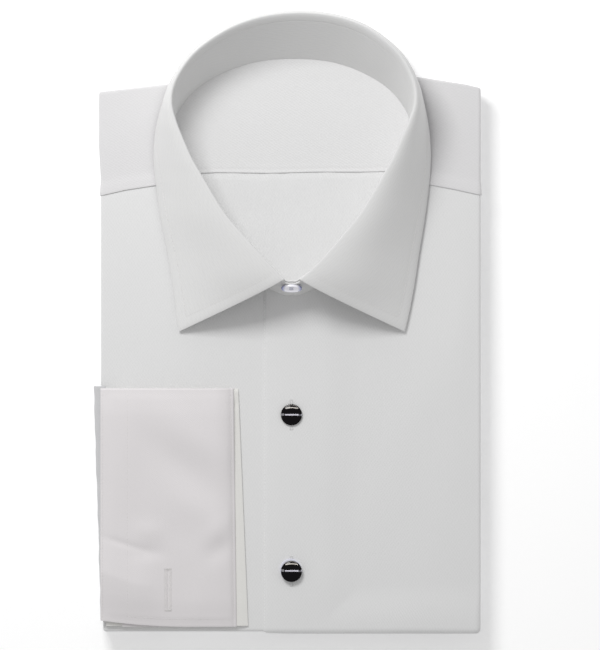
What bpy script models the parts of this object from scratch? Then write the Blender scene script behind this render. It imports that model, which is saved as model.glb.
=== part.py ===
"""Long sleeve dress shirt, folded to a flat pack with its collar standing.

The pack lies on its back on the surface z = 0. +X points to the wearer's left,
+Y from hem to collar and +Z away from the surface. Design values are in
millimetres and meshes are written in metres.

The wearer's left front laps over the right one. Both fronts, the yoke and the
back are walls of cloth on one rounded solid that stands for the hidden layers.
"""
import math
from collections import namedtuple

import bmesh
import bpy
import numpy as np

MM = 0.001

# ---------------------------------------------------------------- dimensions
CLOTH = 1.0              # wall of each body panel
GAP = 0.3                # air between pieces that touch
LAYER = CLOTH + GAP      # step from one layer of cloth to the next
PACK_TOP = 18.0          # upper face of the right front above the surface
EDGE_RADIUS = 3.2        # how tightly the cloth turns over the pack's edges
SKIRT = 4.6              # how far the panels run down the pack's sides
BODY_RIGHT = 106.3       # pack edge on the wearer's left side
HEM = -153.4             # pack edge at the folded tail, right front
PLACKET_EDGE = -15.4     # free edge of the left front
UNDERLAP_EDGE = 15.0     # free edge of the right front, below the left one

COLLAR_WALL = 1.5        # band or leaf, two plies with interlining
ROLL = 2.0               # radius of the leaf's fold over the band
BAND_DROP = 3.2          # from the top of the fold down to the leaf's seam
NECK_LEDGE = 0.4         # panel edge showing inside the band

STUD_PLACES = (("stud_upper", 0.2, -31.8, 0.0), ("stud_lower", 0.2, -119.6, 1.1))
STUD_RADIUS = 5.95
POST_RADIUS = 1.2
POST_HOLE = 1.7
STUD_FOOT_RADIUS = 4.0
STUD_FOOT = 0.8
FOOT_ROOM = 1.3          # how far the layers under the feet are pressed down
DISC_RADIUS = 6.0
DISC_THICKNESS = 0.8
DISC_SHIFT = (-0.5, 1.2)
BUTTON_RADIUS = 5.8
BUTTON_THICKNESS = 1.7
BUTTON_RISE = 0.64       # height of the button on the band, as a share

CUFF_TOP_EDGE = -16.8    # fold of the flattened cuff, nearest the collar
CUFF_LOW_EDGE = -150.6   # edges that the link would close
CUFF_FREE_EDGE = -106.8  # stitched edge of the turned-back layer
CUFF_PLY = 1.0
CUFF_LOWER_PLY = 2.4     # both plies of the lower half, pressed together

# Pack outline. Each table is a function of the other coordinate.
SideRow = namedtuple("SideRow", "y x")
LEFT_SIDE = (SideRow(-155, -105.3), SideRow(-100, -106.0), SideRow(-12, -106.6),
             SideRow(100, -106.7), SideRow(118, -107.8), SideRow(160, -107.8))
TopRow = namedtuple("TopRow", "x y")
SHOULDERS = (TopRow(-108, 149.2), TopRow(-66, 154.0), TopRow(-50, 161.0),
             TopRow(-34, 168.0), TopRow(-15, 172.3), TopRow(5, 173.6),
             TopRow(24, 172.3), TopRow(40, 167.5), TopRow(56, 160.5),
             TopRow(69, 158.0), TopRow(98, 153.4), TopRow(107, 151.2))
# The seam that joins each front to the yoke, from the neck out to the side.
YOKE_SEAM = (TopRow(-107, 91.0), TopRow(-93, 94.2), TopRow(-76, 96.8),
             TopRow(-59, 100.4), TopRow(59, 100.4), TopRow(78, 97.1),
             TopRow(90.5, 94.8), TopRow(107, 91.2))
INNER_SEAM_Y = 104.1     # back panel to inside yoke, seen through the neck
INNER_SEAM_TILT = 0.009

# Collar sections from centre front to centre back, for one side. "half" is
# the distance from the section's own middle line, and "middle" is where that
# line lies, because the loop leans a little to one side at the back.
Section = namedtuple("Section", "seam_half seam_y crest_half crest_y crest_z "
                                "edge_half edge_y edge_z fullness middle")
COLLAR = (
    Section(0.0, 36.0, 0.0, 42.6, 44.6, 58.5, 6.0, 20.0, 12, 0.3),
    Section(5.0, 36.3, 4.7, 43.8, 45.0, 63.3, 14.8, 20.0, 13, 0.4),
    Section(16.5, 42.0, 14.4, 52.9, 45.8, 67.1, 36.0, 19.9, 18, 1.3),
    Section(29.5, 54.0, 26.7, 66.6, 46.2, 70.8, 59.0, 19.8, 17, 1.2),
    Section(41.0, 67.5, 38.1, 80.3, 46.4, 74.2, 78.0, 19.8, 14, 0.9),
    Section(49.0, 81.0, 46.0, 93.0, 46.6, 76.3, 93.0, 19.8, 11, 0.8),
    Section(54.8, 92.0, 51.8, 103.1, 46.8, 77.5, 104.0, 19.9, 9, 0.7),
    Section(59.0, 101.5, 56.6, 111.6, 46.9, 78.0, 113.5, 20.0, 8, 0.6),
    Section(63.0, 113.0, 61.4, 122.4, 47.0, 77.6, 122.5, 20.2, 7, 0.6),
    Section(65.6, 124.0, 65.6, 132.5, 47.0, 76.3, 131.5, 20.4, 6, 0.8),
    Section(65.4, 134.5, 68.3, 142.5, 47.0, 73.7, 142.0, 20.5, 4.6, 1.2),
    Section(61.0, 142.8, 67.2, 153.3, 47.0, 69.8, 153.5, 20.0, 4, 1.7),
    Section(54.0, 150.6, 61.1, 165.4, 46.9, 62.6, 166.8, 14.0, 3.6, 2.5),
    Section(45.0, 156.8, 52.0, 175.1, 46.8, 53.2, 176.8, 10.5, 3.2, 3.1),
    Section(32.0, 162.8, 37.3, 184.3, 46.6, 38.0, 185.9, 9.0, 3, 4.2),
    Section(17.5, 166.6, 20.2, 190.0, 46.3, 20.5, 191.5, 8.2, 3, 4.7),
    Section(0.0, 167.8, 0.0, 192.0, 46.2, 0.0, 193.4, 8.0, 3, 4.8),
)
BACK = len(COLLAR) - 1   # place of centre back along the loop
LOOP = 2 * BACK          # places once round the neck
BAND_UNDER_END = -1.9    # the right end runs on below the left one
BAND_OVER_END = LOOP + 1.7

# Side of the hidden layers: each folded layer bulges out past its neighbours.
LayerRow = namedtuple("LayerRow", "z inset")
FOLDED_LAYERS = (LayerRow(10.2, 1.9), LayerRow(9.5, 1.0), LayerRow(8.5, 0.5),
                 LayerRow(7.4, 0.9), LayerRow(6.8, 2.0), LayerRow(6.2, 1.1),
                 LayerRow(4.9, 0.6), LayerRow(3.7, 1.1), LayerRow(3.3, 2.2),
                 LayerRow(2.8, 1.2), LayerRow(1.5, 0.8), LayerRow(0.5, 1.3),
                 LayerRow(0.0, 2.4))

# Sleeve end round the pack's left edge: outermost reach at each height along Y.
SleeveRow = namedtuple("SleeveRow", "y reach")
SLEEVE = (SleeveRow(-15.8, -110.7), SleeveRow(-54.9, -109.6),
          SleeveRow(-93.5, -108.2), SleeveRow(-132.1, -107.2),
          SleeveRow(-146.6, -106.9))


# ------------------------------------------------------------------- helpers
def read_table(table, key, value, at):
    """Straight-line reading of a short table."""
    keys = [getattr(row, key) for row in table]
    values = [getattr(row, value) for row in table]
    return float(np.interp(at, keys, values))


def ease(low, high, value):
    """0 below low, 1 above high, smooth between."""
    share = min(max((value - low) / (high - low), 0.0), 1.0)
    return share * share * (3.0 - 2.0 * share)


def left_side(y):
    return read_table(LEFT_SIDE, "y", "x", y)


def right_side(y):
    """The left front rides higher over the hem, so the layers below draw in."""
    return BODY_RIGHT - overlap_lift(BODY_RIGHT, y)


def shoulder_line(x):
    return read_table(SHOULDERS, "x", "y", x)


def yoke_seam(x):
    return read_table(YOKE_SEAM, "x", "y", x)


def inner_seam(x):
    return INNER_SEAM_Y + INNER_SEAM_TILT * x


def overlap_lift(x, y):
    """How far the left front rides above the right one, and over the hem."""
    placket = 1.0 - ease(UNDERLAP_EDGE + 2.0, UNDERLAP_EDGE + 24.0, x)
    hem = 1.0 - ease(HEM + 4.0, HEM + 26.0, y)
    return LAYER * max(placket, hem)


def foot_channel(x, y):
    """How far the layers below the stud feet are pressed down."""
    across = 1.0 - ease(7.0, 24.0, abs(x))
    along = ease(HEM + 6.0, HEM + 20.0, y) * (1.0 - ease(0.0, 28.0, y))
    return FOOT_ROOM * across * along


def drape(x, y, lift):
    """Put a point of unrolled cloth on the pack, lift above the base layer.

    Past the pack's edges the cloth turns over a round of EDGE_RADIUS and runs
    down the side. At a corner the turn swings round the corner's centre.
    """
    low_x = left_side(y) + EDGE_RADIUS
    high_x = right_side(y) - EDGE_RADIUS
    low_y = HEM + EDGE_RADIUS
    high_y = shoulder_line(min(max(x, low_x), high_x)) - EDGE_RADIUS
    past_x = min(x - low_x, 0.0) + max(x - high_x, 0.0)
    past_y = min(y - low_y, 0.0) + max(y - high_y, 0.0)
    past = max(abs(past_x), abs(past_y))
    if past == 0.0:
        return np.array((x, y, PACK_TOP + lift))
    if abs(past_y) <= abs(past_x):
        swing = math.pi / 4 * abs(past_y) / abs(past_x)
    else:
        swing = math.pi / 2 - math.pi / 4 * abs(past_x) / abs(past_y)
    turn = min(past / EDGE_RADIUS, math.pi / 2)
    down = max(past - EDGE_RADIUS * math.pi / 2, 0.0)
    reach = (EDGE_RADIUS + lift) * math.sin(turn)
    return np.array((
        x - past_x + math.copysign(reach * math.cos(swing), past_x),
        y - past_y + math.copysign(reach * math.sin(swing), past_y),
        PACK_TOP - EDGE_RADIUS + (EDGE_RADIUS + lift) * math.cos(turn) - down))


def over_the_edge(steps=3):
    """Unrolled distances past the start of the turn: round the edge, then down."""
    quarter = EDGE_RADIUS * math.pi / 2
    round_part = [quarter * (i + 1) / steps for i in range(steps)]
    return round_part + [quarter + SKIRT]


def material(name, colour, roughness, metallic=0.0):
    made = bpy.data.materials.new(name)
    made.use_nodes = True
    surface = made.node_tree.nodes["Principled BSDF"]
    surface.inputs["Base Color"].default_value = (*colour, 1.0)
    surface.inputs["Roughness"].default_value = roughness
    surface.inputs["Metallic"].default_value = metallic
    made.diffuse_color = (*colour, 1.0)
    return made


def place(name, bm, colour, roughness, metallic=0.0):
    """Turn the working mesh, in millimetres, into a named object in metres."""
    bmesh.ops.scale(bm, vec=(MM, MM, MM), verts=bm.verts)
    bmesh.ops.recalc_face_normals(bm, faces=bm.faces)
    mesh = bpy.data.meshes.new(name)
    bm.to_mesh(mesh)
    bm.free()
    mesh.shade_smooth()
    mesh.set_sharp_from_angle(angle=math.radians(40))
    mesh.materials.append(material(name, colour, roughness, metallic))
    made = bpy.data.objects.new(name, mesh)
    bpy.context.collection.objects.link(made)
    return made


def cloth_wall(outer, inner):
    """Closed wall between two grids of points with the same rows and columns."""
    rows, columns = len(outer), len(outer[0])
    bm = bmesh.new()
    top = [[bm.verts.new(point) for point in row] for row in outer]
    low = [[bm.verts.new(point) for point in row] for row in inner]
    for i in range(rows - 1):
        for j in range(columns - 1):
            bm.faces.new((top[i][j], top[i][j + 1], top[i + 1][j + 1], top[i + 1][j]))
            bm.faces.new((low[i][j], low[i + 1][j], low[i + 1][j + 1], low[i][j + 1]))
    border = ([(0, j) for j in range(columns)]
              + [(i, columns - 1) for i in range(1, rows)]
              + [(rows - 1, j) for j in range(columns - 2, -1, -1)]
              + [(i, 0) for i in range(rows - 2, 0, -1)])
    for here, there in zip(border, border[1:] + border[:1]):
        bm.faces.new((top[here[0]][here[1]], low[here[0]][here[1]],
                      low[there[0]][there[1]], top[there[0]][there[1]]))
    return bm


def draped_panel(grid, lift_at):
    """Wall of cloth through unrolled points, at the lift that lift_at gives."""
    outer = [[drape(x, y, lift_at(x, y)) for x, y in row] for row in grid]
    inner = [[drape(x, y, lift_at(x, y) - CLOTH) for x, y in row] for row in grid]
    return cloth_wall(outer, inner)


# -------------------------------------------------------------- neck geometry
def collar_rows():
    """The half table laid out once round the neck, left side first."""
    half = []
    for side in (-1, 1):
        rows = []
        for s in COLLAR:
            seam_middle = 0.3 + 0.3 * (s.middle - 0.3)
            rows.append((side * s.seam_half + seam_middle, s.seam_y,
                         side * s.crest_half + s.middle, s.crest_y, s.crest_z,
                         side * s.edge_half + s.middle, s.edge_y, s.edge_z,
                         s.fullness))
        half.append(rows)
    return np.array(half[0] + half[1][-2:0:-1])


NECK = collar_rows()


def loop_row(place, side):
    """One row of the loop. The centre front row serves the leaf on either side."""
    row = NECK[place % LOOP].copy()
    if place % LOOP == 0:
        row[5] = side * COLLAR[0].edge_half + COLLAR[0].middle
    return row


def neck_row(at):
    """Smooth reading of the neck rows, one row to each whole place."""
    base = math.floor(at)
    share = at - base
    side = -1 if at < BACK else 1
    before, here, after, beyond = (loop_row(base + k, side) for k in (-1, 0, 1, 2))
    rise, fall = (after - before) / 2, (beyond - here) / 2
    return ((2 * share**3 - 3 * share**2 + 1) * here
            + (share**3 - 2 * share**2 + share) * rise
            + (3 * share**2 - 2 * share**3) * after
            + (share**3 - share**2) * fall)


def outward(at, first):
    """Unit direction out of the neck loop, in plan, of the curve in two columns."""
    step = 0.05
    before, after = neck_row(at - step), neck_row(at + step)
    run = after[first:first + 2] - before[first:first + 2]
    return np.array((-run[1], run[0], 0.0)) / np.linalg.norm(run)


def seam_point(at, inward=0.0):
    row = neck_row(at)
    return np.array((row[0], row[1], 0.0)) - inward * outward(at, 0)


def neckline(x):
    """Front neck edge of the panels, Y as a function of X."""
    side = [seam_point(at, NECK_LEDGE) for at in np.linspace(0, 8, 33)]
    side = side[::-1] + [seam_point(at, NECK_LEDGE) for at in np.linspace(LOOP, LOOP - 8, 33)]
    return float(np.interp(x, [p[0] for p in side], [p[1] for p in side]))


# --------------------------------------------------------------------- panels
def turn_start(side, y):
    """X where the cloth starts to turn over the left (-1) or right (1) edge."""
    if side < 0:
        return left_side(y) + EDGE_RADIUS
    return right_side(y) - EDGE_RADIUS


def front_panel(columns, side, lift_at):
    """Front from neckline and yoke seam down over the hem, and over one side."""
    shares = (0.0, 0.06, 0.14, 0.25, 0.38, 0.52, 0.66, 0.80, 0.91, 1.0)
    flat_end = HEM + EDGE_RADIUS
    grid = []
    for x in columns:
        top = neckline(x) if abs(x) < 58.5 else yoke_seam(x)
        run = [(x, top + (flat_end - top) * share) for share in shares]
        grid.append(run + [(x, flat_end - step) for step in over_the_edge()])
    top = yoke_seam(turn_start(side, 91.0))
    heights = [top + (flat_end - top) * share for share in shares]
    heights += [flat_end - step for step in over_the_edge()]
    for step in [0.0] + over_the_edge():
        grid.append([(turn_start(side, y) + side * step, y) for y in heights])
    return draped_panel(grid, lift_at)


def post_cutter(x, y):
    """Round cutter where a stud post passes both fronts."""
    bm = bmesh.new()
    bmesh.ops.create_cone(bm, cap_ends=True, segments=20, radius1=POST_HOLE,
                          radius2=POST_HOLE, depth=8.0)
    bmesh.ops.translate(bm, verts=bm.verts, vec=(x, y, PACK_TOP))
    cutter = place("post_cutter", bm, (0.5, 0.5, 0.5), 0.5)
    cutter.hide_render = True
    cutter.display_type = 'WIRE'
    return cutter


def pierce(panel, cutters):
    for cutter in cutters:
        cut = panel.modifiers.new(cutter.name, 'BOOLEAN')
        cut.operation = 'DIFFERENCE'
        cut.solver = 'EXACT'
        cut.object = cutter


def build_fronts():
    cutters = [post_cutter(x, y) for _, x, y, _ in STUD_PLACES]
    left_columns = [PLACKET_EDGE, -8.0, 0.4, 9.0, 17.0, 24.0, 32.0, 40.0, 47.0, 52.5,
                    56.5, 59.0, 67.0, 78.0, 90.5, 98.0]
    bm = front_panel(left_columns, 1, overlap_lift)
    pierce(place("front_left", bm, (0.80, 0.80, 0.80), 0.8), cutters)

    right_columns = [UNDERLAP_EDGE, 8.0, 0.0, -8.0, -16.0, -25.0, -34.0, -42.0, -48.5,
                     -53.5, -57.0, -59.0, -67.0, -76.0, -84.0, -93.0, -98.0]
    bm = front_panel(right_columns, -1, lambda x, y: 0.0)
    pierce(place("front_right", bm, (0.82, 0.82, 0.82), 0.8), cutters)


def yoke_rim():
    """Places of the yoke's outer rim, where the cloth starts to turn over.

    Each entry pairs a point with the unrolled direction it turns in.
    """
    left, right = turn_start(-1, 150.0), turn_start(1, 150.0)
    top_left = shoulder_line(left) - EDGE_RADIUS
    top_right = shoulder_line(right) - EDGE_RADIUS
    low = turn_start(-1, 91.0)
    rim = [(low, yoke_seam(low) + GAP, -1, 0)]
    rim += [(turn_start(-1, y), y, -1, 0) for y in (104, 118, 131, 141, top_left - 1.5)]
    rim.append((left, top_left, -1, 1))
    tops = (left + 1.5, -96, -86, -76, -66, -58, -50, -42, -34, -24, -15, -5, 5, 15,
            24, 32, 40, 48, 56, 62, 69, 80, 90, 98, right - 1.5)
    rim += [(x, shoulder_line(x) - EDGE_RADIUS, 0, 1) for x in tops]
    rim.append((right, top_right, 1, 1))
    rim += [(right, y, 1, 0) for y in (top_right - 1.5, 142, 132, 118, 104)]
    rim.append((right, yoke_seam(right) + GAP, 1, 0))
    return rim


def build_yoke():
    """Outer yoke round the neck: a U from one front seam to the other."""
    rim = yoke_rim()
    start, end = 7.0, LOOP - 7.0
    grid = []
    for i, (x, y, turn_x, turn_y) in enumerate(rim):
        at = start + (end - start) * i / (len(rim) - 1)
        neck = seam_point(at, NECK_LEDGE)
        if i in (0, len(rim) - 1):
            neck[1] = yoke_seam(neck[0]) + GAP
        shares = (0.0, 0.25, 0.5, 0.75, 1.0)
        run = []
        for share in shares:
            run_x = neck[0] + (x - neck[0]) * share
            run_y = neck[1] + (y - neck[1]) * share
            if i in (0, len(rim) - 1):
                run_y = yoke_seam(run_x) + GAP
            run.append((run_x, run_y))
        run += [(x + turn_x * step, y + turn_y * step) for step in over_the_edge()]
        grid.append(run)
    place("yoke", draped_panel(grid, lambda x, y: 0.0), (0.78, 0.79, 0.80), 0.8)


def build_inside():
    """Inside of the back, seen through the neck: back panel and inside yoke."""
    columns = (-101, -84, -66, -45, -24, -15, -7, 0, 7, 15, 24, 45, 66, 84, 101)
    along = (-149, -120, -90, -60, -30, 0, 10, 19, 28, 50, 78)
    grid = [[(x, y) for y in along] + [(x, inner_seam(x) - GAP)] for x in columns]
    bm = draped_panel(grid, lambda x, y: -LAYER - foot_channel(x, y))
    place("back_panel", bm, (0.84, 0.84, 0.84), 0.8)

    columns = (-101, -84, -66, -50, -34, -15, 5, 24, 40, 56, 69, 84, 101)
    grid = []
    for x in columns:
        low, high = inner_seam(x), shoulder_line(x) - 4.0
        grid.append([(x, low + (high - low) * share) for share in (0, 0.33, 0.67, 1)])
    bm = draped_panel(grid, lambda x, y: -LAYER)
    place("inside_yoke", bm, (0.80, 0.81, 0.82), 0.8)


def build_folded_layers():
    """Hidden sides, sleeves and tail: one solid with a flat base and layered sides."""
    low = HEM + EDGE_RADIUS
    quarter = EDGE_RADIUS * math.pi / 2
    turns = (quarter * 0.5, quarter)
    flat_xs = (-90, -66, -50, -34, -24, -15, -7, 0, 7, 15, 24, 40, 56, 69, 90)
    ys = [low - step for step in turns[::-1]]
    ys += [low, -120, -90, -60, -30, 0, 10, 19, 28, 60, 90, 115, 135]

    def column(x_at, x_top):
        top = shoulder_line(x_top) - EDGE_RADIUS
        heights = ys + [top] + [top + step for step in turns]
        return [(x_at(y), y) for y in heights]

    left, right = turn_start(-1, 150.0), turn_start(1, 150.0)
    runs = [column(lambda y, s=step: turn_start(-1, y) - s, left)
            for step in turns[::-1] + (0.0,)]
    runs += [column(lambda y, x=x: x, x) for x in flat_xs]
    runs += [column(lambda y, s=step: turn_start(1, y) + s, right)
             for step in (0.0,) + turns]
    bm = bmesh.new()
    sheet = []
    for run in runs:
        sheet.append([bm.verts.new(drape(x, y, -2 * LAYER - foot_channel(x, y)))
                      for x, y in run])
    columns, rows = len(sheet), len(sheet[0])
    for i in range(columns - 1):
        for j in range(rows - 1):
            bm.faces.new((sheet[i][j], sheet[i + 1][j], sheet[i + 1][j + 1], sheet[i][j + 1]))
    border = ([sheet[i][0] for i in range(columns)]
              + [sheet[-1][j] for j in range(1, rows)]
              + [sheet[i][-1] for i in range(columns - 2, -1, -1)]
              + [sheet[0][j] for j in range(rows - 2, 0, -1)])
    outline = [np.array(vert.co) for vert in border]
    drawn_in = 2 * LAYER
    previous = border
    for row in FOLDED_LAYERS:
        ring = []
        for k, point in enumerate(outline):
            before = outline[k - 1]
            after = outline[(k + 1) % len(outline)]
            run = (after - before)[:2]
            out = np.array((run[1], -run[0])) / np.linalg.norm(run)
            shift = (drawn_in - row.inset) * out
            ring.append(bm.verts.new((point[0] + shift[0], point[1] + shift[1], row.z)))
        for k in range(len(ring)):
            after = (k + 1) % len(ring)
            bm.faces.new((previous[k], ring[k], ring[after], previous[after]))
        previous = ring
    bm.faces.new(previous)
    place("folded_layers", bm, (0.74, 0.74, 0.75), 0.85)


# --------------------------------------------------------------------- collar
def band_inner_top(at):
    row = neck_row(at)
    crest = np.array(row[2:5])
    return crest - ROLL * outward(at, 2) - np.array((0, 0, BAND_DROP + GAP))


def band_foot(at):
    foot = seam_point(at)
    foot[2] = PACK_TOP + overlap_lift(abs(foot[0]), foot[1]) + GAP + 0.1
    return foot


def band_tuck(at):
    """How far inward the right end lies, where the left end covers it."""
    return (COLLAR_WALL + GAP) * (1.0 - ease(1.9, 4.2, at))


def build_band():
    """Stand of the collar, an open strip whose left end laps over the right."""
    places = np.arange(BAND_UNDER_END, BAND_OVER_END + 0.01, 0.5)
    grid = []
    for at in places:
        tuck = band_tuck(at) * outward(at, 0)
        foot, top = band_foot(at) - tuck, band_inner_top(at) - tuck
        grid.append([foot + (top - foot) * share for share in (0.0, 0.5, 1.0)])
    points = np.array(grid)
    away = np.array([[COLLAR_WALL * outward(at, 0)] * 3 for at in places])
    bm = cloth_wall(points, points + away)
    place("collar_band", bm, (0.70, 0.71, 0.73), 0.8)


def leaf_section(at):
    """Outer face of the leaf at one place: up, over the fold and down to the edge."""
    row = neck_row(at)
    crest, edge, fullness = row[2:5], row[5:8], row[8]
    out = outward(at, 2)
    section = [crest - ROLL * out - np.array((0, 0, BAND_DROP))]
    for angle in (90, 60, 30):
        bend = math.radians(angle)
        section.append(crest - ROLL * math.sin(bend) * out
                       - np.array((0, 0, ROLL * (1 - math.cos(bend)))))
    fall = edge - crest
    heading = np.array((fall[0], fall[1], 0.0)) + 30.0 * out
    heading /= np.linalg.norm(heading)
    full = crest + fullness * heading
    low = edge + 0.35 * (full - edge)
    for t in (0.0, 0.12, 0.26, 0.42, 0.60, 0.80, 1.0):
        section.append((1 - t)**3 * crest + 3 * (1 - t)**2 * t * full
                       + 3 * (1 - t) * t**2 * low + t**3 * edge)
    return section


def build_leaf():
    """Fall of the collar, from one point round the back to the other."""
    places = np.arange(1.0, LOOP - 0.99, 0.5)
    points = np.array([leaf_section(at) for at in places])
    normals = np.cross(np.gradient(points, axis=1), np.gradient(points, axis=0))
    normals /= np.linalg.norm(normals, axis=2, keepdims=True)
    if normals[:, 4, 2].sum() < 0:
        normals = -normals
    bm = cloth_wall(points, points - normals * COLLAR_WALL)
    place("collar_leaf", bm, (0.83, 0.83, 0.81), 0.8)


# --------------------------------------------------------------- cuff, sleeve
def cuff_fold_x(y):
    """Turn-back fold of the upper half, slightly out of square."""
    return -32.6 + 1.7 * (CUFF_TOP_EDGE - y) / (CUFF_TOP_EDGE - CUFF_LOW_EDGE)


def cuff_lower_x(y):
    """The lower half shows as a strip beyond the fold."""
    return -28.3 + 5.6 * (CUFF_TOP_EDGE - y) / (CUFF_TOP_EDGE - CUFF_LOW_EDGE)


def build_cuff():
    """Double cuff: upper half folded back on itself, lower half flat below it."""
    rest = PACK_TOP + GAP
    rows = np.linspace(CUFF_TOP_EDGE - 0.8, CUFF_LOW_EDGE + 0.4, 9)
    top_z = rest + CUFF_LOWER_PLY
    grid_top, grid_low = [], []
    for y in rows:
        edge = cuff_lower_x(y)
        xs = (-103.6, -85.0, -66.0, -47.0, edge - 2.0, edge - 0.5, edge)
        drops = (0, 0, 0, 0, 0.0, 0.35, 1.0)
        grid_top.append([(x, y, top_z - drop) for x, drop in zip(xs, drops)])
        grid_low.append([(x, y, rest) for x in xs])
    place("cuff_lower", cloth_wall(grid_top, grid_low), (0.82, 0.81, 0.81), 0.75)

    bed = top_z + GAP
    hollow = 0.2
    radius = hollow + CUFF_PLY
    rows = np.linspace(CUFF_TOP_EDGE, CUFF_LOW_EDGE, 9)
    outer, inner = [], []
    for y in rows:
        centre_x = cuff_fold_x(y) - radius
        centre_z = bed + radius
        outer_run = [(x, y, centre_z + radius) for x in (CUFF_FREE_EDGE, -90.0, -70.0, -50.0)]
        inner_run = [(x, y, centre_z + hollow) for x in (CUFF_FREE_EDGE, -90.0, -70.0, -50.0)]
        for angle in (90, 60, 30, 0, -30, -60, -90):
            bend = math.radians(angle)
            outer_run.append((centre_x + radius * math.cos(bend), y,
                              centre_z + radius * math.sin(bend)))
            inner_run.append((centre_x + hollow * math.cos(bend), y,
                              centre_z + hollow * math.sin(bend)))
        outer_run += [(x, y, centre_z - radius) for x in (-50.0, -70.0, -90.0, -103.6)]
        inner_run += [(x, y, centre_z - hollow) for x in (-50.0, -70.0, -90.0, -103.6)]
        outer.append(outer_run)
        inner.append(inner_run)
    place("cuff_turnback", cloth_wall(outer, inner), (0.80, 0.78, 0.78), 0.75)


def build_sleeve_end():
    """Sleeve brought from behind round the pack's left edge, into the cuff."""
    cuff_side = -104.0
    start_z = PACK_TOP + GAP + CUFF_LOWER_PLY + GAP + CUFF_PLY - 0.1
    outer, inner = [], []
    for row in SLEEVE:
        reach = row.reach
        run = [(cuff_side, start_z), (cuff_side + 0.45 * (reach - cuff_side), start_z - 0.2),
               (reach + 0.9, start_z - 1.6), (reach + 0.1, start_z - 4.0),
               (reach, 13.0), (reach + 0.1, 8.0), (reach + 0.4, 3.4), (reach + 0.8, 1.0)]
        points = np.array(run)
        along = np.gradient(points, axis=0)
        into = np.column_stack((-along[:, 1], along[:, 0]))
        into /= np.linalg.norm(into, axis=1, keepdims=True)
        into *= np.sign(np.sum(into * (np.array((-90.0, 5.0)) - points), axis=1,
                               keepdims=True))
        hidden = points + into * CLOTH
        outer.append([(x, row.y, z) for x, z in points])
        inner.append([(x, row.y, z) for x, z in hidden])
    place("sleeve_end", cloth_wall(outer, inner), (0.76, 0.75, 0.76), 0.8)


# ------------------------------------------------------------ studs and button
def turned(profile, steps=36):
    """Solid turned round +Z from a closed profile of (radius, height) points."""
    bm = bmesh.new()
    verts = [bm.verts.new((radius, 0.0, height)) for radius, height in profile]
    edges = [bm.edges.new(pair) for pair in zip(verts, verts[1:])]
    bmesh.ops.spin(bm, geom=verts + edges, cent=(0, 0, 0), axis=(0, 0, 1),
                   angle=2 * math.pi, steps=steps, use_merge=True)
    bmesh.ops.remove_doubles(bm, verts=bm.verts, dist=0.0005)
    return bm


def build_studs():
    top = PACK_TOP + LAYER
    for name, x, y, raised in STUD_PLACES:
        seat = top + GAP + raised
        foot_top = PACK_TOP - CLOTH - GAP
        foot_low = foot_top - STUD_FOOT
        crown = [(STUD_RADIUS * math.sin(math.radians(a)),
                  seat + 1.5 + 1.1 * math.cos(math.radians(a))) for a in (0, 18, 36, 54, 72, 90)]
        profile = crown + [(STUD_RADIUS, seat + 0.5), (STUD_RADIUS - 0.5, seat),
                           (POST_RADIUS, seat), (POST_RADIUS, foot_top),
                           (STUD_FOOT_RADIUS, foot_top), (STUD_FOOT_RADIUS, foot_low),
                           (0.0, foot_low)]
        bm = turned(profile)
        bmesh.ops.translate(bm, verts=bm.verts, vec=(x, y, 0))
        place(name, bm, (0.01, 0.01, 0.012), 0.12)

    _, x, y, _ = STUD_PLACES[1]
    seat = top + GAP
    inner = POST_RADIUS + math.hypot(*DISC_SHIFT) + GAP
    profile = [(DISC_RADIUS, seat + 0.2), (DISC_RADIUS, seat + DISC_THICKNESS - 0.2),
               (DISC_RADIUS - 0.3, seat + DISC_THICKNESS), (inner, seat + DISC_THICKNESS),
               (inner, seat), (DISC_RADIUS - 0.3, seat), (DISC_RADIUS, seat + 0.2)]
    bm = turned(profile)
    bmesh.ops.translate(bm, verts=bm.verts, vec=(x + DISC_SHIFT[0], y + DISC_SHIFT[1], 0))
    place("stud_disc", bm, (0.92, 0.92, 0.95), 0.3)


def build_button():
    """Button on the collar band's outer end, lying in the plane of the band."""
    at = LOOP
    foot, top = band_foot(at), band_inner_top(at)
    up = (top - foot) / np.linalg.norm(top - foot)
    side = np.array((1.0, 0.0, 0.0))
    face = np.cross(side, up)
    if face[1] > 0:
        face = -face
    rim = BUTTON_THICKNESS
    profile = [(0.0, 0.0), (BUTTON_RADIUS - 0.6, 0.0), (BUTTON_RADIUS, 0.5),
               (BUTTON_RADIUS, rim - 0.5), (BUTTON_RADIUS - 0.5, rim),
               (BUTTON_RADIUS - 1.4, rim - 0.1), (BUTTON_RADIUS - 2.2, rim - 0.5),
               (0.0, rim - 0.6)]
    bm = turned(profile)
    centre = foot + BUTTON_RISE * (top - foot) + face * (COLLAR_WALL + GAP)
    for vert in bm.verts:
        x, y, z = vert.co
        vert.co = centre + side * x + up * y + face * z
    place("collar_button", bm, (0.86, 0.86, 0.93), 0.3)


def build():
    for old in list(bpy.data.objects):
        bpy.data.objects.remove(old, do_unlink=True)
    build_folded_layers()
    build_inside()
    build_fronts()
    build_yoke()
    build_band()
    build_leaf()
    build_cuff()
    build_sleeve_end()
    build_studs()
    build_button()


build()
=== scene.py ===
# %% [markdown]
# # A dress shirt, folded flat
# This lesson dresses a plain solid model of a folded shirt. The solid model is
# the frame: it says where every panel lies, and nothing here moves it. Each
# panel is cut again as a fine grid of cloth, bent to its place, given a wall,
# and sewn with real stitches. Lengths are in millimetres until a mesh is
# written, because that is how a cutter thinks.

# %% Load the frame
import math
from collections import namedtuple

import bmesh
import bpy
import numpy as np
from mathutils import Matrix, Vector


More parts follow.
